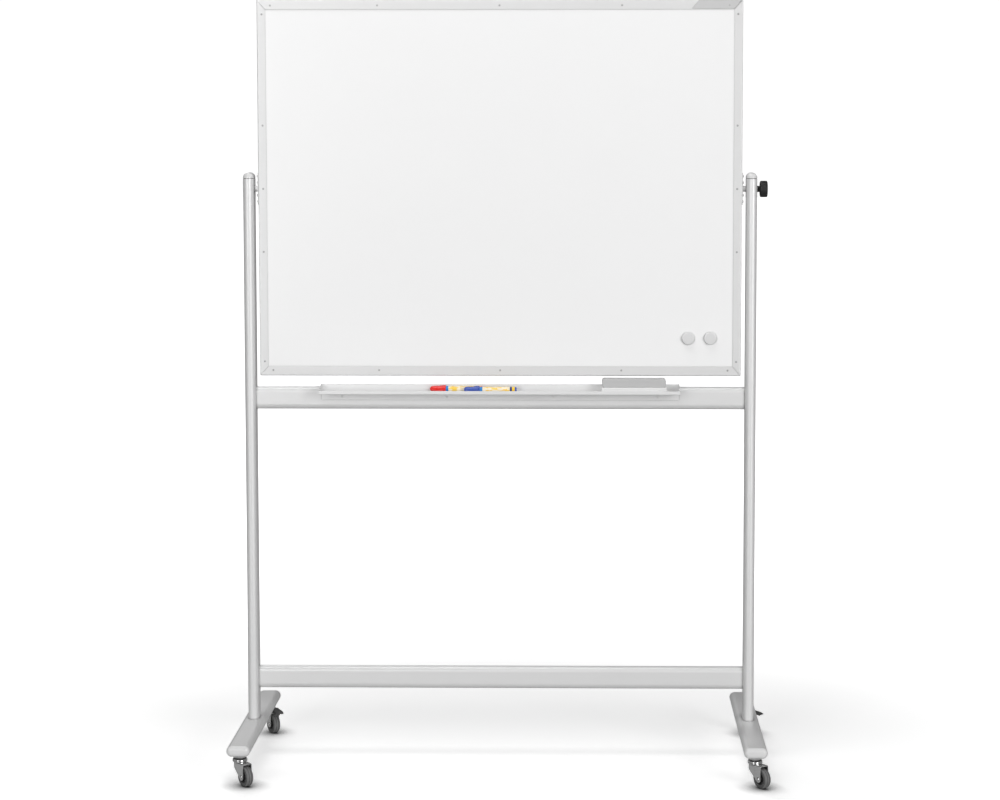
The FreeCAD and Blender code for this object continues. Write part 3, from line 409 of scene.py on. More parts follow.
cadLooks = (
    (silverPaint, "left_post", "right_post", "middle_rail", "lower_rail", "left_foot",
     "right_foot"),
    (zincSteel, "foot_thread_blocks", "frame_bolts", "frame_corner_brackets", "clamp_stud",
     "clamp_washer"),
    (nylonBlack, "left_pivot_bush", "right_pivot_bush"),
    (enamel, "front_writing_sheet", "back_writing_sheet"),
    (insertMetal, "tube_inserts"),
    (cardboard, "board_core"),
)
for look, *names in cadLooks:
    for name in names:
        nodes[name].data.materials[0] = look
print("finishes made:", len(bpy.data.materials))


# oval tube caps

ovalCap = {"wide": 58 * mm, "narrow": 27 * mm, "seam": 0.35 * mm, "gapDepth": 1.5 * mm,
           "wall": 2.1 * mm, "spigot": 8 * mm, "segments": 64, "rounds": 9,
           "postRound": 13.2 * mm, "postGap": 1.2 * mm, "footRound": 10 * mm, "footGap": 0.3 * mm}


def ovalRing(bm, inset, height):
    size = ovalCap
    made = bmesh.ops.create_circle(bm, segments=size["segments"],
                                   radius=size["narrow"] / 2 - inset)["verts"]
    apart = (size["wide"] - size["narrow"]) / 2
    bmesh.ops.translate(bm, vec=(0, 0, height), verts=made)
    for way in (1, -1):
        bmesh.ops.translate(bm, vec=(way * apart, 0, 0),
                            verts=[v for v in made if way * v.co.x > 0.001 * mm])
    return sorted({e for v in made for e in v.link_edges}, key=lambda e: e.index)


def makeOvalCap(length, rounding, gap):  # spigot below Z = 0, shadow gap, rounded end above
    size = ovalCap
    bm = bmesh.new()
    rows = [(size["wall"], -size["spigot"]), (size["wall"], -0.1 * mm), (size["gapDepth"], 0),
            (size["gapDepth"], gap), (size["seam"], gap), (0, gap + size["seam"])]
    for step in range(size["rounds"] + 1):
        angle = math.pi / 2 * step / size["rounds"]
        rows.append((rounding * (1 - math.cos(angle)), length - rounding * (1 - math.sin(angle))))
    rings = [ovalRing(bm, inset, height) for inset, height in rows]
    bmesh.ops.holes_fill(bm, edges=rings[0] + rings[-1], sides=0)
    for lower, upper in zip(rings, rings[1:]):
        bmesh.ops.bridge_loops(bm, edges=lower + upper)
    bmesh.ops.recalc_face_normals(bm, faces=bm.faces)
    # painted shade: the spigot and the shadow gap below the seam take the second, black finish
    for face in bm.faces:
        face.material_index = int(face.calc_center_median().z < gap - 0.01 * mm)
    return bm


for side in ("left", "right"):
    low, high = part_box(side + "_post_cap")
    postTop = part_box(side + "_post")[1].z
    shape = makeOvalCap(high.z - postTop, ovalCap["postRound"], ovalCap["postGap"])
    place(shape, at((low.x + high.x) / 2, 0, postTop) @ turnBy(90, "Z"))
    finishPiece(shape, side + "PostCap", [capPlastic, nylonBlack], "stand", [side + "_post_cap"])

footCaps = []
for side in ("left", "right"):
    low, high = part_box(side + "_foot")
    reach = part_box("foot_end_caps")[1].y
    for way in (-1, 1):
        shape = makeOvalCap(reach - high.y, ovalCap["footRound"], ovalCap["footGap"])
        footCaps.append(place(shape, at((low.x + high.x) / 2, way * high.y, (low.z + high.z) / 2)
                              @ alongY(way)))
finishPiece(join(*footCaps), "footEndCaps", [capPlastic, nylonBlack], "stand", ["foot_end_caps"])
print("tube caps made")


# board frame: channel bars with a rounded outer edge, mitred

bar = {"depth": 22 * mm, "sideFace": 21.5 * mm, "endFace": 24.5 * mm, "web": 2 * mm,
       "lip": 1.4 * mm, "round": 3 * mm, "edge": 0.6 * mm, "seam": 0.3 * mm, "gap": 0.4 * mm}


def makeBar(halfLength, face, otherFace):  # along X, outer edge at Z = 0, inner edge at Z = face
    half, inside, web = bar["depth"] / 2, bar["depth"] / 2 - bar["lip"], bar["web"]
    outline = [(-half, 0), (half, 0), (half, face), (inside, face), (inside, web), (-inside, web),
               (-inside, face), (-half, face)]
    bm = pushOut([(-halfLength, y, z) for y, z in outline], (2 * halfLength, 0, 0))
    outer = [e for e in sharpEdges(bm) if all(v.co.z < 0.01 * mm for v in e.verts)
             and span(e, "y") < mm and e.calc_length() > face]
    soften(bm, bar["round"], 6, edges=outer)
    lips = [e for e in sharpEdges(bm) if e.calc_length() > 4 * face and e.verts[0].co.z > face - mm]
    soften(bm, bar["edge"], 2, edges=lips)
    for way in (-1, 1):
        for step in range(1, 4):  # rounds the board's corner
            turn = math.radians(90 * step / 4)
            normal = Vector((way * math.cos(turn), 0, -math.sin(turn)))
            centre = Vector((way * (halfLength - bar["round"]), 0, bar["round"]))
            cutAway(bm, centre + normal * bar["round"], normal)
        slope = Vector((way * face, 0, otherFace)).normalized()
        mitre = Vector((way * halfLength, 0, 0)) - slope * bar["gap"]
        cutAway(bm, mitre, slope)
        rim = [e for e in sharpEdges(bm, 20) if all(
            abs((v.co - mitre).dot(slope)) < 0.01 * mm for v in e.verts)]
        soften(bm, bar["seam"], 1, edges=rim)
    return bm


boardLow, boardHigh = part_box("frame_left")[0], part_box("frame_right")[1]
boardMiddle = (boardLow + boardHigh) / 2
halfWidth = (boardHigh.x - boardLow.x) / 2
halfHeight = (boardHigh.z - boardLow.z) / 2
barPlaces = {
    "frame_bottom": (halfWidth, bar["endFace"], bar["sideFace"], barAlongX, 0, (0, -halfHeight)),
    "frame_top": (halfWidth, bar["endFace"], bar["sideFace"], barAlongX, 180, (0, halfHeight)),
    "frame_left": (halfHeight, bar["sideFace"], bar["endFace"], barAlongZ, 90, (-halfWidth, 0)),
    "frame_right": (halfHeight, bar["sideFace"], bar["endFace"], barAlongZ, -90, (halfWidth, 0)),
}
for node, (halfLength, face, otherFace, look, turn, (x, z)) in barPlaces.items():
    shape = makeBar(halfLength, face, otherFace)
    place(shape, at(boardMiddle.x + x, 0, boardMiddle.z + z) @ turnBy(turn, "Y"))
    side = node.split("_")[1]
    finishPiece(shape, "frameBar" + side.capitalize(), look, "board", [node])
print("board frame made")


# screw heads with a cross recess

faceScrew = {"radius": 2.2 * mm, "height": 0.6 * mm, "shank": 1.3 * mm, "length": 6 * mm,
             "endInset": 14.5 * mm, "sideInset": 12.5 * mm,
             "acrossEnds": (-576, -307, 0, 307, 576), "downSides": (-437, -159, 0, 159, 437)}
plateScrew = {"radius": 3.5 * mm, "height": 2.3 * mm, "shank": 2 * mm, "length": 20 * mm,
              "levels": (-32, -16, 16, 32)}
trayScrew = {"radius": 3.75 * mm, "height": 2 * mm, "shank": 2 * mm, "length": 8 * mm,
             "across": (-400, -135, 135, 400), "level": 935 * mm}


def makeScrew(size):  # head above Z = 0, shank below
    radius, height = size["radius"], size["height"]
    bm = bmesh.new()
    rings = []
    for across, level in ((size["shank"], -size["length"]), (size["shank"], 0), (radius, 0),
                          (radius, 0.45 * height), (0.9 * radius, 0.78 * height),
                          (0.72 * radius, 0.96 * height)):
        made = bmesh.ops.create_circle(bm, segments=12, radius=across)["verts"]
        bmesh.ops.rotate(bm, cent=(0, 0, 0), matrix=Matrix.Rotation(math.radians(15), 3, "Z"),
                         verts=made)
        bmesh.ops.translate(bm, vec=(0, 0, level), verts=made)
        rings.append(made)
    arm, wide = 0.56 * radius, 0.15 * radius
    for level in (height, height - min(0.6 * height, 1.2 * mm)):  # the cross, and its floor
        made = bmesh.ops.create_circle(bm, segments=12, radius=radius)["verts"]
        for v in made:
            turn = round(math.degrees(math.atan2(v.co.y, v.co.x)) / 30) % 12
            quarter, part = divmod(turn + 1, 3)
            spot = ((arm, -wide), (arm, wide), (wide, wide))[part]
            v.co = Matrix.Rotation(math.radians(90 * quarter), 3, "Z") @ Vector((*spot, level))
        rings.append(made)
    loops = [list({e for v in ring for e in v.link_edges}) for ring in rings]
    for lower, upper in zip(loops, loops[1:]):
        bmesh.ops.bridge_loops(bm, edges=lower + upper)
    bmesh.ops.holes_fill(bm, edges=loops[0] + loops[-1], sides=0)
    bmesh.ops.recalc_face_normals(bm, faces=bm.faces)
    return bm


def scatterScrews(size, seats):  # a seat is its place and the way its head faces
    screws = []
    for spot, facing in seats:
        spin = Matrix.Rotation(chance.uniform(0, math.pi / 2), 4, "Z")
        turn = Vector(facing).to_track_quat("Z", "Y").to_matrix().to_4x4()
        screws.append(place(makeScrew(size), at(*spot) @ turn @ spin))
    return join(*screws)


frameSeats = []
for edge in (-1, 1):
    for x in faceScrew["acrossEnds"]:
        frameSeats.append((x * mm, boardMiddle.z + edge * (halfHeight - faceScrew["endInset"])))
    for z in faceScrew["downSides"]:
        frameSeats.append((edge * (halfWidth - faceScrew["sideInset"]), boardMiddle.z + z * mm))
seats = [((x, way * bar["depth"] / 2, z), (0, way, 0)) for x, z in frameSeats for way in (-1, 1)]
finishPiece(scatterScrews(faceScrew, seats), "frameScrewHeads", screwSteel, "board",
            ["frame_screws"])
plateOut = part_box("pivot_plate_screws")[1].x - plateScrew["height"]
seats = [((way * plateOut, 0, boardMiddle.z + z * mm), (way, 0, 0))
         for z in plateScrew["levels"] for way in (-1, 1)]
finishPiece(scatterScrews(plateScrew, seats), "pivotPlateScrews", screwSteel, "board",
            ["pivot_plate_screws"])
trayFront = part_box("tray_screws")[0].y + trayScrew["height"]
seats = [((x * mm, trayFront, trayScrew["level"]), (0, -1, 0)) for x in trayScrew["across"]]
finishPiece(scatterScrews(trayScrew, seats), "trayScrews", trayMetal, "stand",
            ["tray_screws"])
print("screws made")


# blank name plate on the top bar

namePlate = {"thick": 0.5 * mm, "edge": 0.4 * mm, "round": 0.8 * mm}
low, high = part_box("name_plate")
slant = (high.z - low.z) * bar["sideFace"] / bar["endFace"]
shape = pushOut([(low.x, high.y, low.z), (high.x - slant, high.y, low.z), (high.x, high.y, high.z),
                 (low.x + slant, high.y, high.z)], (0, -namePlate["thick"], 0))
soften(shape, namePlate["round"], 3, edges=[e for e in shape.edges if span(e, "y") > 0.1 * mm])
soften(shape, namePlate["edge"], 1, edges=[e for e in sharpEdges(shape) if all(
    v.co.y < high.y - 0.4 * mm for v in e.verts)])
for f in shape.faces:  # painted shade: the edges take a darker finish than the face, a dark outline
    f.material_index = 0 if f.normal.y < -0.9 else 1
finishPiece(shape, "namePlate", [plateGray, plateEdgeShade], "board", ["name_plate"])


# pivot brackets: plate, shoulder and spigot

pivot = {"plate": (2, 18, 80), "corner": 3 * mm, "edge": 0.4 * mm, "shoulder": 7.2 * mm,
         "spigot": 6 * mm, "clear": 0.3 * mm}


def makePivot(node, way):  # on the +X side, then mirrored for the other
    low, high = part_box(node)
    inner, outer = sorted((abs(low.x), abs(high.x)))
    thick, deep, tall = (size * mm for size in pivot["plate"])
    plate = slab((inner, -deep / 2, -tall / 2), (inner + thick, deep / 2, tall / 2))
    soften(plate, pivot["corner"], 5, edges=[e for e in plate.edges if span(e, "x") > mm])
    soften(plate, pivot["edge"], 2, edges=[e for e in sharpEdges(plate) if all(
        v.co.x > inner + thick / 2 for v in e.verts)])
    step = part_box("right_post")[0].x - pivot["clear"]
    wide, narrow = pivot["shoulder"], pivot["spigot"]
    turned = lathe([(0, inner + thick / 2), (wide + mm, inner + thick / 2),
                    (wide + mm, inner + thick + 0.6 * mm), (wide, inner + thick + 1.4 * mm),
                    (wide, step - 0.4 * mm), (wide - 0.4 * mm, step), (narrow, step),
                    (narrow, outer - 0.5 * mm), (narrow - 0.5 * mm, outer), (0, outer)], 40)
    whole = join(plate, place(turned, alongX()))
    return place(whole, at(0, 0, boardMiddle.z) @ Matrix.Diagonal((way, 1, 1, 1)))


for side, way in (("left", -1), ("right", 1)):
    node = side + "_pivot_bracket"
    finishPiece(makePivot(node, way), side + "PivotBracket", silverPaint, "board", [node])
print("name plate and pivots made")


# clamp knob: smooth rims round a finely ribbed band

knob = {"neck": 7.75 * mm, "reach": 6.3 * mm, "radius": 20.8 * mm, "ribs": 36, "dip": 0.5 * mm,
        "frontRim": 4.2 * mm, "backRim": 3.4 * mm, "steps": 216}
low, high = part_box("clamp_knob")


def makeKnob():
    radius, start, end = knob["radius"], low.x + knob["reach"], high.x
    bandStart, bandEnd = start + knob["frontRim"], end - knob["backRim"]
    bm = lathe([(0, low.x), (knob["neck"] - 0.5 * mm, low.x), (knob["neck"], low.x + 0.5 * mm),
                (knob["neck"], start), (radius - 4 * mm, start + 0.2 * mm),
                (radius - 1.8 * mm, start + 0.8 * mm), (radius - 0.5 * mm, start + 1.9 * mm),
                (radius, start + 3.2 * mm), (radius, bandStart - 0.4 * mm),
                (radius - 0.6 * mm, bandStart), (radius - 0.1 * mm, bandStart + 0.5 * mm),
                (radius - 0.1 * mm, bandEnd - 0.5 * mm), (radius - 0.6 * mm, bandEnd),
                (radius, bandEnd + 0.4 * mm), (radius - 0.3 * mm, end - 1.8 * mm),
                (radius - 1.4 * mm, end - 0.7 * mm), (radius - 3.4 * mm, end),
                (radius - 6.2 * mm, end - 0.2 * mm), (radius - 7 * mm, end - 1.3 * mm),
                (6 * mm, end - 1.6 * mm), (0, end - 1.5 * mm)], knob["steps"])
    for v in bm.verts:
        across = math.hypot(v.co.x, v.co.y)
        if bandStart + 0.1 * mm < v.co.z < bandEnd - 0.1 * mm and across > radius - mm:
            wave = 0.5 + 0.5 * math.cos(knob["ribs"] * math.atan2(v.co.y, v.co.x))
            v.co.xy *= 1 - knob["dip"] * wave / across
    return place(bm, at(0, 0, boardMiddle.z) @ alongX())


finishPiece(makeKnob(), "clampKnob", knobBlack, "clamp_knob", ["clamp_knob"])
print("clamp made")


# pen tray: pressed section with rounded bends, and its end plates

tray = {"sheet": 1.5 * mm, "outerBend": 1.8 * mm, "innerBend": 0.9 * mm, "edge": 0.5 * mm,
        "lipTop": 954.4 * mm, "floorTop": 946.5 * mm, "cap": 1.5 * mm, "capNotch": 6 * mm,
        "capRound": 1.2 * mm, "capEdge": 0.35 * mm}
low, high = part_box("pen_tray")
lipTop, floorTop, sheetIn = tray["lipTop"], tray["floorTop"], tray["sheet"]
outline = [(high.y, low.z), (high.y, high.z), (high.y - sheetIn, high.z),
           (high.y - sheetIn, floorTop), (low.y + sheetIn, floorTop), (low.y + sheetIn, lipTop),
           (low.y, lipTop), (low.y, floorTop - sheetIn), (high.y - sheetIn, floorTop - sheetIn),
           (high.y - sheetIn, low.z)]
shape = pushOut([(low.x, y, z) for y, z in outline], (high.x - low.x, 0, 0))
longEdges = [e for e in sharpEdges(shape) if e.calc_length() > 0.5]
outerBend = [e for e in longEdges if e.verts[0].co.y < low.y + 0.1 * mm
             and e.verts[0].co.z < floorTop]
innerBends = [e for e in longEdges if abs(e.verts[0].co.z - floorTop) < 0.1 * mm]
soften(shape, tray["outerBend"], 5, edges=outerBend)
soften(shape, tray["innerBend"], 4, edges=[e for e in innerBends if e.is_valid])
soften(shape, tray["edge"], 3, edges=[e for e in sharpEdges(shape, 60) if e.calc_length() > 0.5])
finishPiece(shape, "penTray", trayMetal, "stand", ["pen_tray"])

caps = []
for way in (-1, 1):
    start = way * high.x
    points = [(start, high.y, floorTop - sheetIn), (start, low.y, floorTop - sheetIn),
              (start, low.y, lipTop), (start, high.y - tray["capNotch"], high.z),
              (start, high.y, high.z)]
    cap = pushOut(points, (way * tray["cap"], 0, 0))
    soften(cap, tray["capRound"], 4, edges=[e for e in cap.edges if span(e, "x") > mm])
    soften(cap, tray["capEdge"], 2, edges=[e for e in sharpEdges(cap) if all(
        abs(v.co.x) > high.x + mm for v in e.verts)])
    caps.append(cap)
finishPiece(join(*caps), "trayEndPlates", capPlastic, "stand", ["tray_end_caps"])
print("tray made")


# access hole plugs in the posts and feet

plug = {"radius": 7.5 * mm, "height": 0.8 * mm, "stem": 5.9 * mm, "depth": 2 * mm,
        "apart": 15 * mm}


def makePlug():
    r, h = plug["radius"], plug["height"]
    return lathe([(0, -plug["depth"]), (plug["stem"], -plug["depth"]), (plug["stem"], 0), (r, 0),
                  (r, 0.3 * h), (r - 0.4 * mm, 0.7 * h), (r - 1.4 * mm, 0.95 * h),
                  (0.5 * r, h), (0, h)], 32)


plugs = []
for side, way in (("left", -1), ("right", 1)):
    low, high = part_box(side + "_post")
    outer = high.x if way > 0 else low.x
    for railNode in ("middle_rail", "lower_rail"):
        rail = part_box(railNode)
        level = (rail[0].z + rail[1].z) / 2
        for z in (level - plug["apart"], level + plug["apart"]):
            plugs.append(place(makePlug(), at(outer, 0, z) @ alongX(way)))
    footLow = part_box(side + "_foot")[0].z
    for y in (-plug["apart"], plug["apart"]):
        plugs.append(place(makePlug(), at((low.x + high.x) / 2, y, footLow) @ turnBy(180, "X")))
finishPiece(join(*plugs), "boltHolePlugs", capPlastic, "stand", ["bolt_hole_plugs"])
print("plugs made")


# eraser: moulded grip on a felt pad

eraser = {"round": 6 * mm, "edge": 1.6 * mm, "border": 7 * mm, "slope": 1.2 * mm,
          "dish": 1.4 * mm, "sheets": 3, "sheetRound": 0.9 * mm, "cuts": 24, "fuzz": 0.16 * mm}
low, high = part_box("eraser_grip")
shape = slab(low, high)
soften(shape, eraser["round"], 7, edges=[e for e in shape.edges if span(e, "y") > 10 * mm])
soften(shape, eraser["edge"], 4, degrees=60)
top = max(shape.faces, key=lambda f: f.calc_center_median().z * 1000 + f.calc_area())
bmesh.ops.inset_individual(shape, faces=[top], thickness=eraser["border"], depth=0)
bmesh.ops.inset_individual(shape, faces=[top], thickness=eraser["slope"], depth=-eraser["dish"])
finishPiece(shape, "eraserGrip", gripGray, "eraser", ["eraser_grip"])

low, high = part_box("eraser_felt")
layers = []
lift = (high.z - low.z) / eraser["sheets"]
for row in range(eraser["sheets"]):  # felt in layers
    sheetLow = Vector((low.x, low.y, low.z + row * lift))
    sheetHigh = Vector((high.x, high.y, low.z + (row + 1) * lift))
    sheet = slab(sheetLow, sheetHigh)
    soften(sheet, eraser["sheetRound"], 2)
    longOnes = [e for e in sheet.edges if e.calc_length() > 20 * mm]
    bmesh.ops.subdivide_edges(sheet, edges=longOnes, cuts=eraser["cuts"], use_grid_fill=True)
    for v in sheet.verts:
        drop = Vector([chance.uniform(-1, 0.2) * eraser["fuzz"] for axis in range(3)])
        centre = (sheetLow + sheetHigh) / 2
        v.co += Vector([d if c > m else -d for d, c, m in zip(drop, v.co, centre)])
        v.co = Vector([min(max(c, a), b) for c, a, b in zip(v.co, sheetLow, sheetHigh)])
    layers.append(sheet)
finishPiece(join(*layers), "eraserFelt", feltWhite, "eraser", ["eraser_felt"], smooth=60)
print("eraser made")


# markers: ribbed cap with a clip, banded barrel

marker = {"cap": 40 * mm, "capRadius": 8 * mm, "barrelRadius": 7.4 * mm,
          "clip": (16 * mm, 4 * mm, 1.4 * mm), "ribs": 20, "ribDip": 0.22 * mm,
          "bands": ((46.5, 2), (115.5, 1), (121, 3), (126.5, 4), (133, 0))}


def makeMarker(name, ink):
    low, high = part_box(name)
    r, end = marker["capRadius"], marker["cap"]
    cap = lathe([(0, 0), (3.2 * mm, 0), (3.6 * mm, 0.5 * mm), (3.8 * mm, 1.6 * mm),
                 (5.4 * mm, 1.8 * mm), (6.6 * mm, 3.2 * mm), (7.4 * mm, 6 * mm), (7.7 * mm, 9 * mm),
                 (7.75 * mm, 24 * mm), (r, 26 * mm), (r, end - 0.5 * mm), (r - 0.4 * mm, end),
                 (0, end)], 120)
    for v in cap.verts:
        if 8 * mm < v.co.z < 25 * mm:
            wave = 0.5 + 0.5 * math.cos(marker["ribs"] * math.atan2(v.co.y, v.co.x))
            v.co.xy *= 1 - marker["ribDip"] * wave / r
    run, wide, lift = marker["clip"]
    clip = slab((r - 1 * mm, -wide / 2, end - run), (r + lift, wide / 2, end - 0.3 * mm))
    soften(clip, 0.8 * mm, 3)
    taper = [v for v in clip.verts if v.co.z < end - run + 3 * mm and v.co.x > r]
    bmesh.ops.translate(clip, vec=(-0.9 * mm, 0, 0), verts=taper)
    capShape = place(join(cap, clip), turnBy(-90, "Y") @ turnBy(180, "X"))
    b = marker["barrelRadius"]
    profile = [(0, end - 2 * mm), (b - 0.6 * mm, end - 2 * mm), (b - 0.6 * mm, end + 0.4 * mm),
               (b, end + 0.8 * mm)]
    for stop, look in marker["bands"][:-1]:  # a fine groove between two bands
        stop *= mm
        profile += [(b, stop - 0.15 * mm), (b - 0.12 * mm, stop), (b, stop + 0.15 * mm)]
    profile += [(b, 128 * mm), (6.9 * mm, 131 * mm), (5.9 * mm, 132.6 * mm), (5.2 * mm, 133 * mm),
                (0, 133 * mm)]
    barrel = lathe(profile, 48)
    for f in barrel.faces:
        middle = f.calc_center_median().z
        f.material_index = next(look for stop, look in marker["bands"] if middle <= stop * mm + mm)
    place(barrel, alongX())
    spot = at(low.x, (low.y + high.y) / 2, low.z + r)
    pieceName = name.replace("_m", "M")
    finishPiece(place(capShape, spot), pieceName + "Cap", ink, name, [name])
    finishPiece(place(barrel, spot), pieceName + "Barrel",
                [ink, label, azureBand, navyBand, yellowBand], name, [name])


makeMarker("red_marker", redInk)
makeMarker("blue_marker", blueInk)
print("markers made")


# round magnets with a softly crowned face

for name in ("left_magnet", "right_magnet"):
    low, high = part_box(name)
    r, h = (high.x - low.x) / 2, high.y - low.y
    shape = lathe([(0, 0), (r - 0.5 * mm, 0), (r, 0.5 * mm), (r, h - 2.6 * mm),
                   (r - 0.3 * mm, h - 1.5 * mm), (r - 0.9 * mm, h - 0.8 * mm),
                   (r - 1.8 * mm, h - 0.4 * mm), (r - 4 * mm, h - 0.2 * mm),
                   (r - 8 * mm, h - 0.05 * mm), (0, h)], 72)
    place(shape, at((low.x + high.x) / 2, high.y, (low.z + high.z) / 2) @ alongY(-1))
    finishPiece(shape, name.replace("_m", "M"), magnetWhite, name, [name])
print("magnets made")


# casters, drawn trailing along +X with the swivel axis on Z

fork = {"front": -12, "back": 35, "low": 10, "half": 13, "sheet": 2, "top": 57.5, "bend": 3,
        "strip": 16.5, "step": 1.0, "gather": 1.6, "knee": 42.5, "endRadius": 8.6, "edge": 0.35,
        "cells": 44, "cuts": 8}
wheel = {"radius": 25, "trail": 27, "spokes": 6}


def casterPlace(corner):
    swivel = Vector(joints[corner + "_swivel_turn"]["pos_m"])
    axle = Vector(joints[corner + "_wheel_spin"]["pos_m"])
    turn = math.atan2(axle.y - swivel.y, axle.x - swivel.x)
    return at(swivel.x, swivel.y, 0) @ Matrix.Rotation(turn, 4, "Z") @ Matrix.Scale(mm, 4)


def makeFork():  # pressed sheet: two legs and a bridge, under a round swivel head
    size = fork
    half, top = size["half"], size["top"]
    bm = bmesh.new()
    path = [(-half, size["low"]), (-half, top), (half, top), (half, size["low"])]
    verts = [bm.verts.new((size["front"], y, z)) for y, z in path]
    edges = [bm.edges.new(pair) for pair in zip(verts, verts[1:])]
    for cell in range(size["cells"]):
        made = bmesh.ops.extrude_edge_only(bm, edges=edges)["geom"]
        bmesh.ops.translate(bm, vec=((size["back"] - size["front"]) / size["cells"], 0, 0),
                            verts=only(made, bmesh.types.BMVert))
        edges = [e for e in only(made, bmesh.types.BMEdge) if span(e, "x") < 0.01]
    bends = [e for e in bm.edges if span(e, "y") < 0.01
             and all(abs(v.co.z - top) < 0.01 for v in e.verts)]
    soften(bm, size["bend"], 5, edges=bends)
    axle = Vector((wheel["trail"], 0, wheel["radius"]))
    knee = Vector((size["front"], 0, size["knee"]))
    reach = axle - knee
    heading = math.atan2(reach.z, reach.x) - math.asin(size["endRadius"] / reach.length)
    first = heading - math.pi / 2
    for cut in range(size["cuts"] + 1):  # the slanted front edge, then round the axle to the back
        turn = first * (1 - cut / size["cuts"])
        normal = Vector((math.cos(turn), 0, math.sin(turn)))
        cutAway(bm, axle + normal * size["endRadius"], normal, close=False)
    for v in bm.verts:
        before = size["strip"] - v.co.x
        if before > 0:
            inward = size["step"] * min(1, before / 1.2)
            inward += size["gather"] * (before / (size["strip"] - size["front"])) ** 4
            share = min(1, abs(v.co.y) / (half - size["bend"]))
            v.co.y -= math.copysign(inward * share, v.co.y)
    bmesh.ops.recalc_face_normals(bm, faces=bm.faces)
    highest = max(bm.faces, key=lambda f: f.calc_center_median().z)
    if highest.normal.z < 0:
        bmesh.ops.reverse_faces(bm, faces=bm.faces)
    bmesh.ops.solidify(bm, geom=bm.faces[:], thickness=size["sheet"])
    bmesh.ops.recalc_face_normals(bm, faces=bm.faces)
    soften(bm, size["edge"], 2, degrees=50)
    return bm


def makeHead():
    return lathe([(4.05, 57.3), (17, 57.3), (18, 57.8), (18.3, 58.6), (18.3, 59.8), (17.9, 60.4),
                  (16.9, 60.6), (16.9, 61.2), (17.9, 61.4), (18.3, 62), (18.3, 62.9), (17.9, 63.9),
                  (17, 64.6), (15.6, 65), (4.05, 65)], 72, ring=True)


def bothWays(side):  # a half profile and its mirror
    return side + [(r, -h) for r, h in reversed(side)]


def onAxle(bm):
    return place(bm, at(wheel["trail"], 0, wheel["radius"]) @ alongY())


def makeAxle():
    side = [(0, 15.5), (1.6, 15.35), (2.9, 14.9), (3.9, 14.1), (4.3, 13.6), (4.6, 13.5),
            (4.6, 13.05), (3, 13.05)]
    return onAxle(lathe(bothWays(side), 32))


def makeTyre():
    side = [(15.5, 7.4), (15.9, 8.6), (16.5, 9.15), (17.4, 9.3), (17.9, 8.3), (18.7, 8.2),
            (19.2, 9.2), (20.4, 9.2), (20.9, 8.1), (21.7, 8.0), (22.2, 8.8), (22.8, 8.5),
            (23.5, 7.9), (24.2, 6.9), (24.7, 5.8), (24.95, 4.8), (25, 3.8), (24.3, 3.4),
            (24.3, 2.7), (25, 2.3)]
    return onAxle(lathe(bothWays(side), 96, ring=True))


def makeHub():
    side = [(3.05, 10.5), (5.6, 10.5), (6.4, 10.1), (7, 9.2), (7, 3.6), (7.6, 3), (11.9, 3),
            (12.5, 3.6), (12.5, 8), (13, 8.5), (15, 8.5), (15.5, 8)]
    parts = [lathe(bothWays(side), 72, ring=True)]
    for spoke in range(wheel["spokes"]):
        rib = slab((6.6, -0.9, -6.8), (13, 0.9, 6.8))
        soften(rib, 0.35, 2)
        parts.append(place(rib, Matrix.Rotation(2 * math.pi * spoke / wheel["spokes"], 4, "Z")))
    return onAxle(join(*parts))


pedal = {"heel": (21, 65.5), "toe": (66, 59.5), "half": 15.3, "sheet": 1.8, "skirt": 4.2,
         "crown": 1.1, "ribs": 5, "pivot": (30.5, 51)}


def makePedal():  # crowned tread with a skirt, ribs, ears, pins and the tongue over the tyre
    size = pedal
    (heelX, heelZ), (toeX, toeZ) = size["heel"], size["toe"]
    tread = bmesh.new()
    bmesh.ops.create_grid(tread, x_segments=22, y_segments=14, size=1)
    for v in tread.verts:
        along, across = (v.co.x + 1) / 2, v.co.y
        narrow = 1 - 0.34 * max(0, (along - 0.55) / 0.45) ** 2.2
        level = heelZ + (toeZ - heelZ) * along
        level -= size["crown"] * across ** 2 + 1.2 * max(0, along - 0.85) / 0.15
        v.co = (heelX + (toeX - heelX) * along, across * size["half"] * narrow, level)
    rim = [e for e in tread.edges if e.is_boundary]
    made = bmesh.ops.extrude_edge_only(tread, edges=rim)["geom"]
    for v in only(made, bmesh.types.BMVert):
        along = (v.co.x - heelX) / (toeX - heelX)
        v.co.z -= size["skirt"] * max(0.2, 1 - 1.5 * along)
    bmesh.ops.recalc_face_normals(tread, faces=tread.faces)
    centre = max(tread.faces, key=lambda f: f.normal.z * f.normal.z * f.calc_center_median().z)
    if centre.normal.z < 0:
        bmesh.ops.reverse_faces(tread, faces=tread.faces)
    bmesh.ops.solidify(tread, geom=tread.faces[:], thickness=size["sheet"])
    bmesh.ops.recalc_face_normals(tread, faces=tread.faces)
    parts = [tread]
    for step in range(size["ribs"]):
        x = heelX + 15 + 6 * step
        level = heelZ + (toeZ - heelZ) * (x - heelX) / (toeX - heelX)
        rib = slab((x - 1, -9, level - 1.4), (x + 1, 9, level + 0.7))
        soften(rib, 0.55, 2)
        parts.append(rib)
    pivotX, pivotZ = size["pivot"]
    for way in (-1, 1):
        ear = slab((25, 13.3, pivotZ), (36.5, size["half"], heelZ - 3.2))
        soften(ear, 0.4, 2)
        eye = lathe([(0, 13.3), (5.6, 13.3), (6, 13.7), (6, 14.9), (5.6, 15.3), (0, 15.3)], 32)
        pin = lathe([(0, 11), (2, 11), (2, 16), (0, 16)], 20)
        for part in (eye, pin):
            place(part, at(pivotX, 0, pivotZ) @ alongY())
        for part in (ear, eye, pin):
            parts.append(place(part, Matrix.Diagonal((1, way, 1, 1))))
    tongue = slab((41, -8, 48.7), (45, 8, 61))
    soften(tongue, 0.8, 3)
    parts.append(tongue)
    return join(*parts)


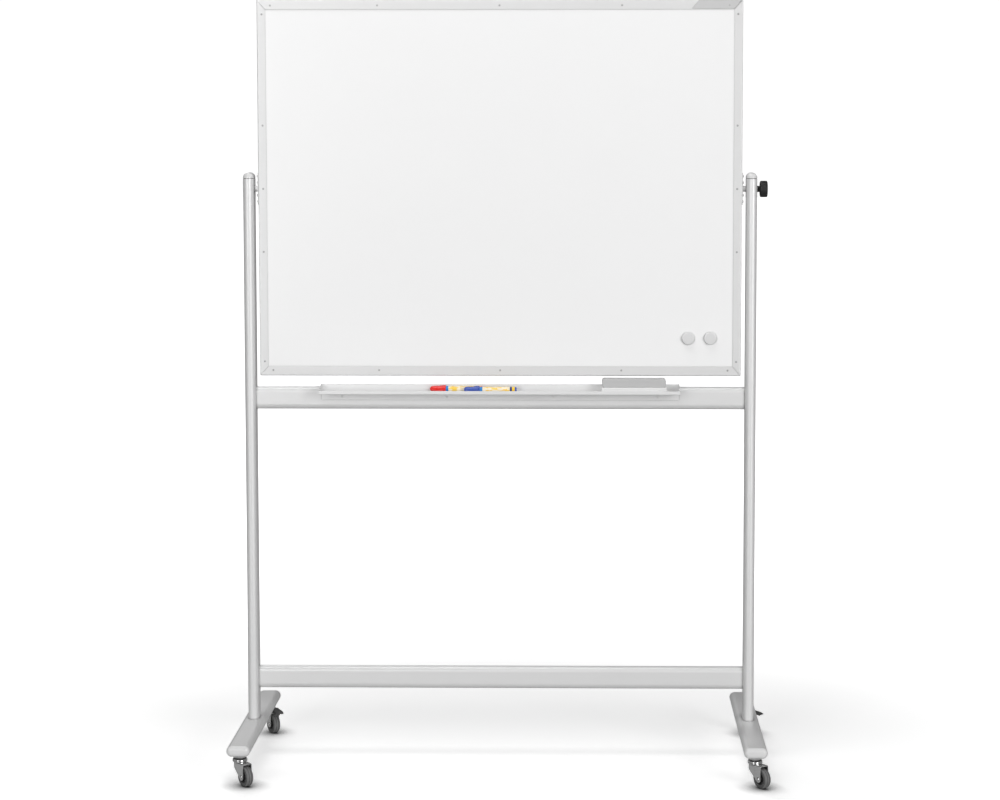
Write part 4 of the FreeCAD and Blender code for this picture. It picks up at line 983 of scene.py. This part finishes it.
for corner in corners:
    spot = casterPlace(corner)
    side, other = corner.split("_")
    pieceName = side + other.capitalize()
    parts = [("Fork", makeFork, forkSteel, "_swivel", "_fork", "caster_chrome", 45),
             ("SwivelHead", makeHead, chrome, "_swivel", "_fork", "caster_chrome", 38),
             ("Axle", makeAxle, axleSteel, "_swivel", "_axle", "axle_steel", 38),
             ("Hub", makeHub, hubBlack, "_wheel", "_hub", "hub_plastic", 38),
             ("Tyre", makeTyre, tyreGray, "_wheel", "_tyre", "tyre_rubber", 38)]
    if side == "rear":
        parts.append(("Pedal", makePedal, pedalBlack, "_pedal", "_brake_pedal", "pedal_plastic",
                      38))
    for ending, makePart, look, body, node, slotName, smooth in parts:
        finishPiece(place(makePart(), spot), pieceName + ending, look, corner + body,
                    [corner + node], smooth=smooth)

stem = {"thread": 5, "root": 4.5, "pitch": 1.25, "low": 75.5, "high": 97}


def makeStem():
    size = stem
    profile = [(0, 53.3), (4.6, 53.3), (6, 54), (6, 54.8), (4, 54.8), (4, 68.2), (16.4, 68.2),
               (17, 68.8), (17, 70.6), (16.4, 71.2), (10, 71.2), (10, 75.5), (size["root"], 75.5)]
    turns = int((size["high"] - size["low"] - 2) / size["pitch"])
    for turn in range(turns):
        start = size["low"] + 0.5 + turn * size["pitch"]
        profile += [(size["root"], start), (size["thread"] - 0.05, start + 0.45 * size["pitch"]),
                    (size["root"], start + 0.9 * size["pitch"])]
    profile += [(size["root"] - 0.6, size["high"]), (0, size["high"])]
    return lathe(profile, 36)


def makeRing():
    return lathe([(4.05, 65.15), (15.3, 65.15), (16, 65.7), (16, 67.5), (15.3, 68.1),
                  (4.05, 68.1)], 60, ring=True)


stems, rings = [], []
for corner in corners:
    x, y, z = joints[corner + "_swivel_turn"]["pos_m"]
    spot = at(x, y, 0) @ Matrix.Scale(mm, 4)
    stems.append(place(makeStem(), spot))
    rings.append(place(makeRing(), spot))
finishPiece(join(*stems), "casterStems", zincSteel, "stand", ["caster_stems"])
finishPiece(join(*rings), "swivelRings", nylonBlack, "stand", ["swivel_bearing_rings"])
print("casters made")


# floor, light and camera

stage = {"bounceTone": 190, "floorGlow": 0.36, "fade": (0.9, 2.8), "contactShadow": 0.055,
         "contactShadowPower": 2.4, "roomLight": 0.265, "backdrop": 1.05, "roomBehind": 0.6,
         "roomSpread": (0.15, 0.9), "brightSide": (0.1, -0.42, 0.28)}


def splitByCamera(tree, unseen, seen, end):  # the camera sees one shader, all else the other
    pick = tree.nodes.new("ShaderNodeMixShader")
    ray = tree.nodes.new("ShaderNodeLightPath").outputs["Is Camera Ray"]
    for source, socket in zip((ray, unseen.outputs[0], seen.outputs[0]), pick.inputs):
        tree.links.new(source, socket)
    tree.links.new(pick.outputs[0], tree.nodes[end].inputs["Surface"])


bm = bmesh.new()
bmesh.ops.create_grid(bm, x_segments=2, y_segments=2, size=60)
mesh = bpy.data.meshes.new("floor")
bm.to_mesh(mesh)
bm.free()
floorLook = bpy.data.materials.new("floorWhite")
floorLook.use_nodes = True
tree = floorLook.node_tree
shader = tree.nodes["Principled BSDF"]
shader.inputs["Roughness"].default_value = 0.9
shader.inputs["Specular IOR Level"].default_value = 0.05
shader.inputs["Emission Strength"].default_value = 1.0
away = addNode(tree, "ShaderNodeVectorMath", operation="LENGTH", Vector=objectSpot(tree))
fade = addNode(tree, "ShaderNodeMapRange", interpolation_type="SMOOTHSTEP",
               Value=away.outputs["Value"])  # the floor fades to white
fade.inputs["From Min"].default_value, fade.inputs["From Max"].default_value = stage["fade"]
fade.inputs["To Min"].default_value = stage["floorGlow"]
# painted contact shadow: an occlusion term darkens the floor's colour and glow next to the casters
# and feet
near = addNode(tree, "ShaderNodeAmbientOcclusion", Distance=stage["contactShadow"], samples=12)
contactShadow = sums(tree, "POWER", near.outputs["AO"], stage["contactShadowPower"])
tree.links.new(contactShadow, shader.inputs["Base Color"])
tree.links.new(sums(tree, "MULTIPLY", fade.outputs[0], contactShadow), shader.inputs["Emission Color"])
dull = addNode(tree, "ShaderNodeBsdfDiffuse", Color=gray(stage["bounceTone"]))
splitByCamera(tree, dull, shader, "Material Output")
mesh.materials.append(floorLook)
floor = bpy.data.objects.new("floor", mesh)
bpy.context.scene.collection.objects.link(floor)

world = bpy.data.worlds.new("studio")
world.use_nodes = True
bpy.context.scene.world = world
tree = world.node_tree
facing = addNode(tree, "ShaderNodeTexCoord").outputs["Generated"]
frontness = addNode(tree, "ShaderNodeVectorMath", operation="DOT_PRODUCT", Vector=facing)
frontness.inputs[1].default_value = stage["brightSide"]
ramp = addNode(tree, "ShaderNodeValToRGB",  # brighter in front of the board than behind it
               Fac=sums(tree, "ADD", frontness.outputs["Value"], 0.5))
for stop, where, level in zip(ramp.color_ramp.elements, stage["roomSpread"],
                                (stage["roomBehind"], 1)):
    stop.position, stop.color = where, (level, level, level, 1)
room = tree.nodes["Background"]
room.inputs["Strength"].default_value = stage["roomLight"]
tree.links.new(ramp.outputs["Color"], room.inputs["Color"])
seen = addNode(tree, "ShaderNodeBackground", Color=(1, 1, 1, 1), Strength=stage["backdrop"])
splitByCamera(tree, room, seen, "World Output")


def addLight(name, spot, aim, size, power):
    data = bpy.data.lights.new(name, "AREA")
    data.shape = "RECTANGLE"
    data.size, data.size_y = size
    data.energy = power
    lamp = bpy.data.objects.new(name, data)
    lamp.location = spot
    lamp.rotation_euler = (Vector(aim) - Vector(spot)).to_track_quat("-Z", "Y").to_euler()
    lamp.visible_camera = False
    bpy.context.scene.collection.objects.link(lamp)


addLight("frontRight", (8.3, -11.7, 3.4), (0, 0, 1.0), (5.6, 6.0), 900)
addLight("frontLeft", (-5.8, -13.6, 2.9), (0, 0, 1.0), (5.6, 6.0), 640)
addLight("overhead", (-0.4, -1.2, 5.0), (0, 0, 0.4), (2.2, 1.4), 54)
addLight("behind", (-2.4, 5.2, 5.4), (0, 0, 0.9), (3.4, 3.0), 105)

view = {"lens": 84.04, "shift": (-0.05, -0.07), "spot": (0.215, -5.9, 1.58), "tilt": 4.624,
        "turn": 0.861}
camera = bpy.data.cameras.new("camera")
camera.sensor_width = 36
camera.lens = view["lens"]
camera.shift_x, camera.shift_y = view["shift"]
eye = bpy.data.objects.new("camera", camera)
eye.location = view["spot"]
eye.rotation_euler = (math.radians(90 - view["tilt"]), 0, math.radians(view["turn"]))
bpy.context.scene.collection.objects.link(eye)
bpy.context.scene.camera = eye
bpy.context.scene.view_settings.view_transform = "Standard"
bpy.context.scene.view_settings.look = "None"
print("stage made")
